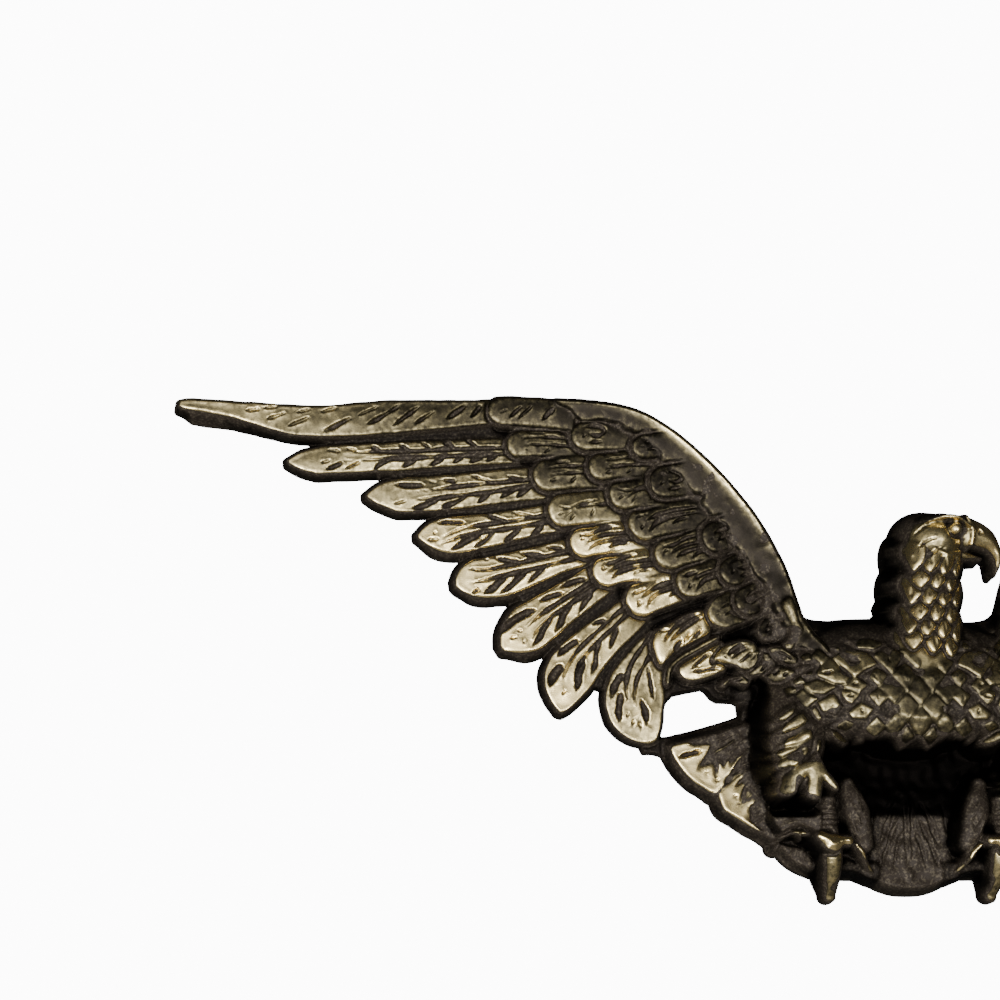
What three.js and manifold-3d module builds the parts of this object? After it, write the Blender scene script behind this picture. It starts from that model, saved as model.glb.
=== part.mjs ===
// Cast brass wall eagle with its wings spread, seen from the front.
// Millimetres, +Z up, +X to the right of someone who faces it. The flat back lies in the plane y = 0,
// the relief stands out of it towards -y, and the origin is on the back, between the wing roots.
// Heights in this file are distances out of that plane.
import * as THREE from "three";
import { mergeVertices } from "three/addons/utils/BufferGeometryUtils.js";
import Module from "manifold-3d";

const wasm = await Module();
wasm.setup();

// Driving dimensions
const draft = 2.4; // how far a cast edge slopes out between its face and the back
const plateHeight = 5.5; // thickness of the ground behind the feathers
const quillRise = 0.8; // how far a quill stands over its vane
const tuck = 1.4; // how much lower the upper edge of a flight feather lies than its lower edge
const grooveAt = 0.3; // share of the half width at which a groove runs beside the quill
const vaneCamber = 1.0; // how far the edges of a covert lie below its middle
const blunt = 2.4; // 2 rounds a feather's tip as an ellipse, more makes it squarer
const covertTip = 1.3; // length of a covert's rounded tip, as a share of its half width
const scaleTip = 1.6; // the same for a breast feather
const tipFlat = 0.67; // share of its full width below which a vane loses its camber

// The eight flight feathers of one wing, outermost first: points of the quill from tip to root, half
// width (a list where it changes along the feather), length of the rounded tip, and vane height.
const flightFeathers = [
  {
    quill: [[-297.5, 103], [-268, 99.5], [-240, 97.2], [-207, 99.5], [-163, 102.5]],
    half: [1.2, 5.2, 7.2, 6.6, 4.6], round: 4, height: 9.5,
  },
  { quill: [[-252.5, 81], [-207, 84], [-156, 87]], half: 6.4, round: 15, height: 8.5 },
  { quill: [[-220.5, 67.5], [-190, 69], [-146, 74]], half: 7.2, round: 15, height: 8.5 },
  { quill: [[-199.5, 51], [-170, 53.5], [-138, 59]], half: 8, round: 14, height: 8.5 },
  { quill: [[-184, 32], [-159.5, 37], [-128, 45]], half: 8.6, round: 13, height: 8.5 },
  { quill: [[-165, 5.5], [-145.5, 18], [-119, 35.5]], half: 9.6, round: 13, height: 8.5 },
  { quill: [[-141.5, -20.5], [-133.5, -1], [-111, 21.5]], half: 9.9, round: 17, height: 8.5 },
  { quill: [[-104.5, -32.5], [-111, -14], [-99, 10]], half: 12, round: 17, height: 8.5 },
];

// Rows of coverts: their tips stand at even steps along a curve, and the quills turn with it.
const covertRows = [
  {
    tips: [[-164, 89], [-147.5, 60], [-128.5, 35], [-103.5, 7.5], [-77, -5]],
    count: 9, turn: [2, 38], half: 7, length: 28, tipHeight: 11, rootHeight: 8.5,
  },
  {
    tips: [[-136, 90], [-121, 66], [-102, 42.5], [-79, 17.5], [-65, 5]],
    count: 8, turn: [2, 20], half: 6.8, length: 26, tipHeight: 12, rootHeight: 9.5,
  },
  {
    tips: [[-119, 84.5], [-103.5, 72], [-81, 46.5], [-67.5, 22.5], [-57, 8]],
    count: 7, turn: [0, 35], half: 6.8, length: 22, tipHeight: 13, rootHeight: 10.5,
  },
  {
    tips: [[-69, -6], [-58, -10], [-48, -13]],
    count: 4, turn: [50, 70], half: 4.4, length: 13, tipHeight: 15, rootHeight: 13,
  },
  {
    tips: [[-63, 4], [-53, 0], [-44, -4]],
    count: 4, turn: [40, 60], half: 4.4, length: 13, tipHeight: 18, rootHeight: 15,
  },
];
const firstCovert = { quill: [[-170, 103.5], [-132, 100]], half: 5, round: 8, height: 10.5 };

// The smooth bar along the leading edge, from the first covert to the shoulder.
const leadingBar = {
  ridge: [[-148, 106.5], [-131.5, 106.5], [-114, 104], [-99.2, 99.3], [-86.3, 90], [-74.2, 77.2], [-62.2, 61.6],
    [-50.2, 39], [-44.2, 22.3], [-40.2, 12], [-32, 3]],
  outside: 3.4, inside: 11, outerHeight: 8.5, ridgeHeight: 14, innerHeight: 10.5,
  widths: [0, 1, 1, 1, 1, 1, 1, 1, 1, 0.8, 0.5], // share of the inner width at even steps along it
};
const wingGround = [[-168, 104], [-130, 106], [-98, 96], [-72, 70], [-50, 38], [-42, 10], [-46, -16],
  [-69, -17], [-80, -12], [-92, -11], [-101, -9], [-128, 24], [-150, 62]];

// The breast: level, half width and height of its sections.
const breastSections = [[17, 26, 12], [12, 38, 19], [4, 46, 25], [-6, 50, 29], [-15, 49, 31], [-23, 42, 30],
  [-30, 28, 24], [-34, 12, 14]];
const breastFullness = 0.8; // 1 makes its sections half ellipses, less makes them fuller
const shoulder = { reach: 46, level: 7, half: 6, slope: 6.2, height: 12 };
const bodyGround = [[-68, -10], [-44, 12], [44, 12], [68, -10], [68, -34], [48, -60], [-48, -60], [-68, -34]];
const bridge = [[-106, -29], [-97, -29], [-94, -38], [-103, -36.5]]; // joins the wing to the tail

// Breast feathers: rows of small scales, each row staggered against the one above.
const breastScales = { rows: 5, across: 9, top: 3, step: 7.2, spacing: 11.5, margin: 6, fan: 70, half: 5.6,
  length: 11, rise: 1.8, edge: 0.4 };

// The tail: feathers fanned about a point under the breast, given for one side by their angle from
// straight down, half the angle that each one fills, and how far it reaches.
const tail = { pivot: [0, 8], root: 28, height: 9, round: 10 };
const tailFan = [{ angle: 0, fills: 12, reach: 98 }, { angle: 23.5, fills: 11.4, reach: 100.5 },
  { angle: 43.5, fills: 9, reach: 101.5 }, { angle: 58.8, fills: 8, reach: 106 }];

// Legs, for one side: each limb is a path with its half width and height at even steps.
const thigh = { path: [[-31, -4], [-41, -16], [-42.5, -32], [-43, -46]], half: [10, 14, 14, 12],
  height: [24, 31, 32, 30] };
const skirt = { start: [-42, -34], points: [[-56, -52.5], [-44.5, -55], [-35.5, -51]], half: 5, round: 14,
  height: 32, tipHeight: 30 };
const limbs = [
  { path: [[-36, -48], [-35.5, -57], [-35.5, -67]], half: [6, 5, 6], height: [20, 19, 23] },
  { path: [[-34.5, -63], [-34.5, -71.5], [-34, -80], [-35, -95]], half: [5, 7.5, 4.8, 2.2], height: [22, 28, 25, 8] },
  { path: [[-37, -65], [-48, -61], [-57, -63], [-61, -68]], half: [4, 5, 4.5, 2], height: [23, 22, 18, 11] },
  { path: [[-31, -52], [-25.5, -60], [-22, -71], [-21.5, -82]], half: [4, 6.5, 5.5, 3], height: [19, 24, 25, 14] },
];

const limbFoot = 1.15; // width of a limb at the back plane, as a share of its width
const limbEdge = 0.4; // height of its side, as a share of its height

// Neck and head, turned to look along +X.
const neck = { path: [[4, -2], [6, 18], [8, 34], [11, 47]], half: [24, 15.5, 13.5, 12.5], height: [29, 27, 25, 24] };
const neckScales = { rows: 5, first: 0.22, last: 0.82, shares: [-0.62, 0, 0.62], half: 4.6, length: 11,
  rise: 1.6, edge: 0.4 };
const skull = { centre: [13, 51], radii: [15, 13, 26] };
const beak = { path: [[18, 53], [28, 53.5], [36, 50.5], [40, 44], [39.5, 37]], half: [10, 8.5, 6.2, 3.6, 0.8],
  height: [21, 21, 19, 16, 12] };
const brow = { path: [[9, 57], [18, 58], [27, 55]], half: [1.4, 2, 1.4], height: [25, 27, 23] };
const eye = { centre: [19.5, 54], radius: 2.6, height: 26.5 };

// Facets
const flightSteps = 7; // along a flight or tail feather
const covertSteps = 4; // along a covert
const scaleSteps = 2; // along a breast feather
const barSteps = 12; // along the leading bar
const limbSteps = 5; // along a leg, toe, neck or beak
const limbSides = 6; // across the top of a limb
const breastSides = 10; // across the breast
const skullRings = 8;
const eyeRings = 4;
const smallest = 0.12; // slivers that the joining leaves, finer than this, are closed up
const weld = 0.02; // corners closer together than this become one

// A closed body through rings of points. It is turned the right way out afterwards, so a ring may
// run either way round.
function skin(rings, mirror = 1) {
  const size = rings[0].length;
  const positions = rings.flatMap((ring) => ring.flatMap((p) => [p.x * mirror, p.y, p.z]));
  const index = [];
  for (let r = 0; r + 1 < rings.length; r++) {
    for (let i = 0; i < size; i++) {
      const a = r * size + i;
      const b = r * size + ((i + 1) % size);
      index.push(a, b, b + size, a, b + size, a + size);
    }
  }
  const last = (rings.length - 1) * size;
  for (let i = 1; i + 1 < size; i++) {
    index.push(0, i + 1, i, last, last + i, last + i + 1);
  }
  const geometry = new THREE.BufferGeometry();
  geometry.setAttribute("position", new THREE.Float32BufferAttribute(positions, 3));
  geometry.setIndex(index);
  return solidOf(geometry);
}

// A geometry as a closed solid, with its corners that lie closer together than this merged.
function solidOf(geometry, closer = 1e-3) {
  geometry.deleteAttribute("normal");
  geometry.deleteAttribute("uv");
  const merged = mergeVertices(geometry, closer);
  const points = merged.getAttribute("position");
  const corners = [0, 1, 2].map(() => new THREE.Vector3());
  const triangles = [];
  let volume = 0;
  for (let i = 0; i < merged.index.count; i += 3) {
    const ids = [0, 1, 2].map((k) => merged.index.getX(i + k));
    if (new Set(ids).size < 3) continue; // a tip has closed this face up
    ids.forEach((id, k) => corners[k].fromBufferAttribute(points, id));
    volume += corners[0].dot(corners[1].clone().cross(corners[2]));
    triangles.push(ids);
  }
  const outward = volume > 0 ? triangles : triangles.map(([a, b, c]) => [a, c, b]);
  return new wasm.Manifold(
    new wasm.Mesh({
      numProp: 3,
      vertProperties: new Float32Array(points.array),
      triVerts: new Uint32Array(outward.flat()),
    }),
  );
}

function geometryOf(solid) {
  const { vertProperties, triVerts } = solid.getMesh();
  const geometry = new THREE.BufferGeometry();
  geometry.setAttribute("position", new THREE.BufferAttribute(vertProperties, 3));
  geometry.setIndex(new THREE.BufferAttribute(triVerts, 1));
  return geometry;
}

const curveThrough = (points) => new THREE.SplineCurve(points.map(([x, z]) => new THREE.Vector2(x, z)));

// Value at t of a row of numbers that stand at even steps.
function along(values, t) {
  if (values.length === 1) return values[0];
  const place = THREE.MathUtils.clamp(t, 0, 1) * (values.length - 1);
  const low = Math.min(Math.floor(place), values.length - 2);
  return THREE.MathUtils.lerp(values[low], values[low + 1], place - low);
}

// A body swept along a path in the wall plane. Each section is a list of points given as distance to
// the right of the path, height, and distance ahead of the section.
function sweep(path, stations, sectionAt, mirror) {
  const rings = stations.map((t) => {
    const at = path.getPointAt(t);
    const ahead = path.getTangentAt(t);
    return sectionAt(t, at).map(([right, height, forward = 0]) => new THREE.Vector3(
      at.x + ahead.y * right + ahead.x * forward,
      -height,
      at.y - ahead.x * right + ahead.y * forward,
    ));
  });
  return skin(rings, mirror);
}

// Steps from 0 to 1 that crowd together at the tip.
const towardsTip = (count) => Array.from({ length: count + 1 }, (_, i) => Math.sin((i / count) * Math.PI / 2));
const evenly = (count) => Array.from({ length: count + 1 }, (_, i) => i / count);

// A feather, from its root to its rounded tip, with sloping sides down to the back plane.
function feather({ quill, half, round, steps, faceAt }, mirror) {
  const path = curveThrough(quill);
  const length = path.getLength();
  const nudge = 1e-3; // the step over which the slope of the edge is measured
  const start = 1 - Math.min(round / length, 0.95);
  const halfAt = (t) => {
    const beyond = Math.max(0, (t - start) / (1 - start));
    return along(half, t) * Math.max(0, 1 - beyond ** blunt) ** (1 / blunt);
  };
  const widest = Math.max(...half);
  return sweep(path, towardsTip(steps), (t, at) => {
    const width = t > 1 - 1e-6 ? 0 : halfAt(t);
    const slope = width === 0 ? -1 / nudge : (halfAt(t) - halfAt(t - nudge)) / (nudge * length);
    const lean = draft / Math.hypot(1, slope);
    const section = faceAt(t, at);
    const flat = section[section.length - 1][1];
    const fullness = Math.min(1, width / (tipFlat * widest));
    const face = section.map(([share, height]) => [share * width, THREE.MathUtils.lerp(flat, height, fullness)]);
    return [[-width - lean, 0, -slope * lean], ...face, [width + lean, 0, -slope * lean]];
  }, mirror);
}

// Cross-sections: height of the vane at shares of its half width. A flight feather has a raised quill
// between two grooves, and its upper edge tucks in under the feather above.
const quilledVane = (height) => () => [[-1, height - tuck], [-grooveAt, height - tuck / 2], [0, height + quillRise],
  [grooveAt, height - tuck / 3], [1, height]];
const cambered = (rootHeight, tipHeight) => (t) => {
  const middle = THREE.MathUtils.lerp(rootHeight, tipHeight, t);
  return [[-1, middle - vaneCamber], [0, middle], [1, middle - vaneCamber / 2]];
};

function ground(outline, height, mirror = 1) {
  const shape = new THREE.Shape(outline.map(([x, z]) => new THREE.Vector2(x * mirror, z)));
  const plate = new THREE.ExtrudeGeometry(shape, { depth: height, bevelEnabled: false });
  return solidOf(plate.rotateX(Math.PI / 2));
}

// How full a limb's section stands, from its edge (0) to its middle (1).
const swell = (share) => THREE.MathUtils.lerp(limbEdge, 1, Math.sqrt(share));

// A rounded limb that stands on the back plane.
function limb({ path, half, height }, mirror) {
  return sweep(curveThrough(path), evenly(limbSteps), (t) => {
    const width = along(half, t);
    const top = along(height, t);
    return evenly(limbSides).map((share) => {
      const turn = share * Math.PI;
      const onBack = share === 0 || share === 1;
      return [-width * Math.cos(turn) * (onBack ? limbFoot : 1), onBack ? 0 : top * swell(Math.sin(turn))];
    });
  }, mirror);
}

function wing(mirror) {
  const solids = [ground(wingGround, plateHeight, mirror)];
  const rootFirst = (points) => [...points].reverse();
  for (const { quill, half, round, height } of flightFeathers) {
    const halves = rootFirst([half].flat());
    solids.push(feather({ quill: rootFirst(quill), half: halves, round, steps: flightSteps,
      faceAt: quilledVane(height) }, mirror));
  }
  for (const row of covertRows) {
    const tips = curveThrough(row.tips);
    for (let i = 0; i < row.count; i++) {
      const share = i / (row.count - 1);
      const tip = tips.getPointAt(share);
      const turn = THREE.MathUtils.degToRad(THREE.MathUtils.lerp(...row.turn, share));
      const root = [tip.x + row.length * Math.cos(turn), tip.y + row.length * Math.sin(turn)];
      solids.push(feather({
        quill: [root, [tip.x, tip.y]], half: [row.half], round: row.half * covertTip, steps: covertSteps,
        faceAt: cambered(row.rootHeight, row.tipHeight),
      }, mirror));
    }
  }
  const { quill, half, round, height } = firstCovert;
  solids.push(feather({ quill: rootFirst(quill), half: [half], round, steps: covertSteps,
    faceAt: cambered(height, height) }, mirror));
  const { ridge, outside, inside, outerHeight, ridgeHeight, innerHeight, widths } = leadingBar;
  solids.push(sweep(curveThrough(ridge), evenly(barSteps), (t) => {
    const width = inside * along(widths, t);
    return [[-outside, 0], [-draft, outerHeight], [-draft / 2, ridgeHeight], [width / 3, ridgeHeight - draft / 2],
      [width, innerHeight], [width, 0]];
  }, mirror));
  return solids;
}

// Half width and height of the breast at one level.
function breastAt(level) {
  const after = Math.max(1, breastSections.findIndex(([z]) => z <= level));
  const [above, below] = [breastSections[after - 1], breastSections[after]];
  const share = THREE.MathUtils.clamp((above[0] - level) / (above[0] - below[0]), 0, 1);
  return [1, 2].map((k) => THREE.MathUtils.lerp(above[k], below[k], share));
}

function breastHeight(x, z) {
  const [half, height] = breastAt(z);
  const lowest = 0.15;
  return height * Math.sqrt(Math.max(lowest, 1 - (x / half) ** 2));
}

// A small feather that lies on the body and lifts off it towards its tip.
function scale([x, z], direction, { half, length, rise, edge }, heightAt) {
  const root = [x - direction.x * length, z - direction.y * length];
  const lift = [[-1, edge], [0, rise], [1, edge]];
  return feather({
    quill: [root, [x, z]], half: [half], round: half * scaleTip, steps: scaleSteps,
    faceAt: (t, at) => lift.map(([share, over]) => [share, heightAt(at.x, at.y) + over * t]),
  });
}

function torso() {
  const solids = [ground(bodyGround, plateHeight), ground(bridge, plateHeight), ground(bridge, plateHeight, -1)];
  solids.push(skin(breastSections.map(([z, half, height]) => evenly(breastSides).map((t) => {
    const turn = t * Math.PI;
    return new THREE.Vector3(-half * Math.cos(turn), -height * Math.sin(turn) ** breastFullness, z);
  }))));
  const { reach, level, half, slope, height } = shoulder;
  solids.push(sweep(curveThrough([[reach, level], [-reach, level]]), evenly(1), () => [[-half, 0], [-half, height],
    [half, height], [half + slope, 0]]));
  const { rows, across, top, step, spacing, margin, fan } = breastScales;
  for (let row = 0; row < rows; row++) {
    const z = top - row * step;
    for (let i = 0; i < across - (row % 2); i++) {
      const x = (i - (across - 1 - (row % 2)) / 2) * spacing;
      if (Math.abs(x) > breastAt(z)[0] - margin) continue;
      solids.push(scale([x, z], new THREE.Vector2(x, -fan).normalize(), breastScales, breastHeight));
    }
  }
  return solids;
}

function tailFeathers() {
  const [px, pz] = tail.pivot;
  return tailFan.flatMap(({ angle, fills, reach }) => (angle ? [-1, 1] : [1]).map((side) => {
    const turn = THREE.MathUtils.degToRad(angle);
    const at = (radius) => [px - side * radius * Math.sin(turn), pz - radius * Math.cos(turn)];
    const spread = Math.tan(THREE.MathUtils.degToRad(fills));
    return feather({
      quill: [at(tail.root), at(reach)], half: [spread * tail.root, spread * reach - 1], round: tail.round,
      steps: flightSteps, faceAt: quilledVane(tail.height),
    });
  }));
}

function leg(mirror) {
  const points = skirt.points.map((tip) => feather({
    quill: [skirt.start, tip], half: [skirt.half], round: skirt.round, steps: covertSteps,
    faceAt: cambered(skirt.height, skirt.tipHeight),
  }, mirror));
  return [limb(thigh, mirror), ...points, ...limbs.map((one) => limb(one, mirror))];
}

// A round form that stands half out of the back plane.
function dome([x, z], [rx, rz, height], rings) {
  return solidOf(new THREE.SphereGeometry(1, 2 * rings, rings).scale(rx, height, rz).translate(x, 0, z));
}

// Height of the neck's surface over a point of the back plane.
function neckHeight(x, z) {
  const [from, to] = [neck.path[0][1], neck.path[neck.path.length - 1][1]];
  const t = (z - from) / (to - from);
  const middle = curveThrough(neck.path).getPoint(THREE.MathUtils.clamp(t, 0, 1)).x;
  const share = Math.min(0.95, Math.abs(x - middle) / along(neck.half, t));
  return along(neck.height, t) * swell(Math.sqrt(1 - share ** 2));
}

function neckFeathers() {
  const path = curveThrough(neck.path);
  const { rows, first, last, shares } = neckScales;
  return evenly(rows - 1).map((place, row) => {
    const t = THREE.MathUtils.lerp(first, last, place);
    const centre = path.getPointAt(t);
    const up = path.getTangentAt(t);
    const offsets = row % 2 ? shares.slice(1).map((share, i) => (share + shares[i]) / 2) : shares;
    return offsets.map((share) => {
      const reach = share * along(neck.half, t);
      const tip = [centre.x + up.y * reach, centre.y - up.x * reach];
      return scale(tip, up.clone().negate(), neckScales, neckHeight);
    });
  }).flat();
}

function head() {
  return [...neckFeathers(), limb(neck), limb(beak), limb(brow), dome(skull.centre, skull.radii, skullRings),
    dome(eye.centre, [eye.radius, eye.radius, eye.height], eyeRings)];
}

// Everything behind the back plane is cut away, and the whole is one casting.
const [wide, deep, tall] = [800, 100, 400];
const behind = solidOf(new THREE.BoxGeometry(wide, deep, tall).translate(0, deep / 2, 0));
const shapes = [...wing(1), ...wing(-1), ...torso(), ...tailFeathers(), ...leg(1), ...leg(-1), ...head()];
const joined = wasm.Manifold.union(shapes).subtract(behind).asOriginal().simplify(smallest);
const cast = geometryOf(solidOf(geometryOf(joined), weld));

const antiqueBrass = new THREE.MeshStandardMaterial({ color: 0x8d7d5c, roughness: 0.42, metalness: 1 });
const eagle = new THREE.Mesh(cast, antiqueBrass);
eagle.name = "cast_eagle";

const group = new THREE.Group();
group.add(eagle);

export default group;
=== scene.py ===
import math

import bmesh
import bpy
import numpy as np
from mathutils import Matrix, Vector


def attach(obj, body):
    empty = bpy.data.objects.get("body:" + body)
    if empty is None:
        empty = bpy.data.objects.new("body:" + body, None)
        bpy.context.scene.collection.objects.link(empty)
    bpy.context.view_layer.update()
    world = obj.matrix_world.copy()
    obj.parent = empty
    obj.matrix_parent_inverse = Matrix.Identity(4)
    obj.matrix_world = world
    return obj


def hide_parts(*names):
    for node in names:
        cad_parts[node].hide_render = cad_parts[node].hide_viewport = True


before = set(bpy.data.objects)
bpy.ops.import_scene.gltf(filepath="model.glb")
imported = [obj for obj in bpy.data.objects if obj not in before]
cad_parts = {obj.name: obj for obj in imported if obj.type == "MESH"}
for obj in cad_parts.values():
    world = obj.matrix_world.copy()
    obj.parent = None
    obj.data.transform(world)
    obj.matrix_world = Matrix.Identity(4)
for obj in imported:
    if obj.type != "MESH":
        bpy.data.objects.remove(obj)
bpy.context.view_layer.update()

# The sheet that the relief is raised on
# Lengths are millimetres here: x to the right, z up, and height out of the wall. One half is carved, as the halves
# match, and then the neck and head are carved on the whole. "relief" is the height, "ink" how dark the patina and
# painted shade make a point, and "tone" how far it is rubbed bare, with painted light and shade on some parts.
sheet = {"pitch": 0.5, "reach": 303.0, "low": -99.0, "high": 113.0, "outside": -4.0, "seed": 7}


def makeCanvas(left, right):
    xs = np.arange(left, right + sheet["pitch"] / 2, sheet["pitch"])
    zs = np.arange(sheet["low"], sheet["high"] + sheet["pitch"] / 2, sheet["pitch"])
    x, z = np.meshgrid(xs, zs)
    return {"x": x, "z": z, "corner": np.array([left, sheet["low"]]),
            "relief": np.full(x.shape, sheet["outside"]), "tone": np.full(x.shape, 0.5), "ink": np.zeros(x.shape)}


def blur(values, radius):
    size = max(1, int(round(radius / sheet["pitch"])))
    for turn in range(3):                                   # three box blurs come close to a soft one
        for axis in (0, 1):
            wide = np.concatenate([np.repeat(values.take([0], axis), size + 1, axis), values,
                                   np.repeat(values.take([-1], axis), size, axis)], axis)
            total = np.cumsum(wide, axis)
            count = values.shape[axis]
            ahead = total.take(range(2 * size + 1, 2 * size + 1 + count), axis)
            values = (ahead - total.take(range(0, count), axis)) / (2 * size + 1)
    return values


def unevenness(shape, size, seed):
    rough = blur(np.random.default_rng(seed).standard_normal(shape), size)
    return rough / rough.std()


def smoothCurve(points, steps=8, closed=False):
    p = np.array(points, float)
    p = np.vstack([p[-1:], p, p[:2]]) if closed else np.vstack([2 * p[0] - p[1], p, 2 * p[-1] - p[-2]])
    t = np.linspace(0, 1, steps, endpoint=False)[:, None]
    spans = []
    for a, b, c, d in zip(p, p[1:], p[2:], p[3:]):
        spans.append(0.5 * (2 * b + (c - a) * t + (2 * a - 5 * b + 4 * c - d) * t**2 + (3 * b - a - 3 * c + d) * t**3))
    if not closed:
        spans.append(p[-2:-1])
    return np.vstack(spans)


def pathLength(path):
    return np.hypot(*np.diff(path, axis=0).T).sum()


def window(canvas, outline, margin=5):
    low = np.floor((np.min(outline, 0) - margin - canvas["corner"]) / sheet["pitch"]).astype(int)
    high = np.ceil((np.max(outline, 0) + margin - canvas["corner"]) / sheet["pitch"]).astype(int)
    rows, columns = canvas["x"].shape
    return np.s_[max(0, low[1]):min(rows, high[1] + 1), max(0, low[0]):min(columns, high[0] + 1)]


def edgeDistance(outline, x, z):                            # positive inside
    best, inside = np.full(x.shape, 1e9), np.zeros(x.shape, bool)
    for (ax, az), (bx, bz) in zip(outline, np.roll(outline, -1, 0)):
        ex, ez = bx - ax, bz - az
        if ex == ez == 0:
            continue
        t = np.clip(((x - ax) * ex + (z - az) * ez) / (ex * ex + ez * ez), 0, 1)
        best = np.minimum(best, (x - ax - t * ex) ** 2 + (z - az - t * ez) ** 2)
        if ez:
            inside ^= ((az > z) != (bz > z)) & (x < ax + (z - az) * ex / ez)
    return np.where(inside, 1, -1) * np.sqrt(best)


def followPath(path, x, z):                                 # length along, distance to the left, distance to it
    best = np.full(x.shape, 1e18)
    along, left = np.zeros(x.shape), np.zeros(x.shape)
    done, last = 0.0, len(path) - 2
    for k, ((ax, az), (bx, bz)) in enumerate(zip(path, path[1:])):
        length = math.hypot(bx - ax, bz - az)
        ex, ez = (bx - ax) / length, (bz - az) / length
        ahead = (x - ax) * ex + (z - az) * ez
        aside = (z - az) * ex - (x - ax) * ez
        stop = np.clip(ahead, 0, length)
        far = (ahead - stop) ** 2 + aside**2
        nearer = far < best
        best = np.where(nearer, far, best)
        free = np.clip(ahead, -1e9 if k == 0 else 0, 1e9 if k == last else length)
        along = np.where(nearer, done + free, along)
        left = np.where(nearer, aside, left)
        done += length
    return along, left, np.sqrt(best)


def offPath(path, along, left):                             # the point at a length along, and off to the left
    steps = np.diff(path, axis=0)
    lengths = np.hypot(*steps.T)
    marks = np.concatenate([[0], np.cumsum(lengths)])
    middle = (marks[1:] + marks[:-1]) / 2
    ways = steps / lengths[:, None]
    beyond = along - np.clip(along, 0, marks[-1])
    at = [np.interp(along, marks, path[:, k]) for k in (0, 1)]
    way = [np.interp(along, middle, ways[:, k]) for k in (0, 1)]
    return np.column_stack([at[0] + way[0] * beyond - way[1] * left, at[1] + way[1] * beyond + way[0] * left])


def ease(value, low, high):
    t = np.clip((value - low) / (high - low), 0, 1)
    return t * t * (3 - 2 * t)


def outside(inside):                                        # 1 outside an outline, with a soft start
    return ease(-inside, -0.3, 0.5)


def crown(inside, rise, reach):                             # a rounded rise from an outline inwards
    return rise * np.sqrt(np.clip(inside / reach, 0, 1))


# Chisel work
chisel = {      # lengths in mm
    "depth": 0.8, "widen": 1.3,                             # depth against width, and width against what is drawn
    "long": 25.0, "widenLong": 1.12,                        # from this length on a cut is a line, and is widened less
    "taper": 0.3, "tailTaper": 0.2, "blunt": 0.04,          # shares of the length in which a cut runs out
    "burr": 0.2, "burrOff": 0.35, "burrWidth": 0.3, "burrFrom": 0.25,      # the edge raised beside all but hairlines
    "wobble": 0.2,
}


# Each cut is its width and then its points, from where the chisel went in.
def carve(face, ink, along, left, cuts, wobble, depth=1.0, dark=1.0):
    for width, *points in cuts:
        curve = smoothCurve(points, 5)
        low, high = curve.min(0) - width, curve.max(0) + width
        pick = (along > low[0]) & (along < high[0]) & (left > low[1]) & (left < high[1])
        if not pick.any():
            continue
        length = pathLength(curve)
        run, _, off = followPath(curve, along[pick], left[pick])
        share = np.clip(run / length, 0, 1)
        ends = np.minimum(share / chisel["taper"], (1 - share) / chisel["tailTaper"])
        half = chisel["widen" if length < chisel["long"] else "widenLong"] * width / 2
        half = half * np.clip(ends, chisel["blunt"], 1) ** 0.6
        off = off + wobble[pick] * chisel["wobble"]
        bed = np.clip(1 - (off / half) ** 2, 0, 1) ** 0.65
        burr = np.exp(-(((off - half - chisel["burrOff"]) / chisel["burrWidth"]) ** 2)) * (half > chisel["burrFrom"])
        face[pick] += chisel["burr"] * burr - chisel["depth"] * depth * 2 * half * bed
        ink[pick] = np.maximum(ink[pick], dark * ease(1.1 * half - off, -0.1, 0.5) * np.clip(2.2 * half, 0, 1))


# Lays a part over those below it. Inside its outline it has its face, with a rolled edge and a raised rim, and
# outside its walls drop off. A moat runs round it in what is below, but for its root, where openFrom is 1. The
# walls and the moat are painted dark, as painted shade round the part's edge.
def lay(canvas, box, inside, face, ink=0.0, drop=3.75, moat=0.0, moatWidth=1.7, tone=1.0, edge=0.9, roll=0.6, rim=0.0,
        openFrom=0.0):
    rimAt, rimWidth = 1.1, 0.6
    face = face - roll * np.clip(1 - inside / edge, 0, 1) ** 2 + rim * np.exp(-(((inside - rimAt) / rimWidth) ** 2))
    height = face + drop * np.minimum(inside, 0)
    below, inkBelow = canvas["relief"][box], canvas["ink"][box]
    if moat:
        ditch = np.exp(-(((inside + 0.45 * moatWidth) / (0.5 * moatWidth)) ** 2)) * (inside < 0.3) * (1 - openFrom)
        below = below - moat * ditch
        # the moat is painted dark: painted shadow round the part's edge
        inkBelow = np.maximum(inkBelow, ditch)
    wins = height > below
    canvas["relief"][box] = np.where(wins, height, below)
    # its walls are painted dark as well: painted shade on the walls
    canvas["ink"][box] = np.where(wins, np.maximum(ink * (inside > -0.2), outside(inside)), inkBelow)
    canvas["tone"][box] = np.where(wins & (inside > -0.4), tone, canvas["tone"][box])


def layShape(canvas, outline, height, closed=True, ink=0.0, grow=0.0, **finish):
    outline = smoothCurve(outline, 6, True) if closed else np.array(outline, float)
    box = window(canvas, outline)
    x, z = canvas["x"][box], canvas["z"][box]
    inside = edgeDistance(outline, x, z) + grow
    face = height(x, z, inside) if callable(height) else np.full(x.shape, float(height))
    lay(canvas, box, inside, face, ink, **finish)


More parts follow.
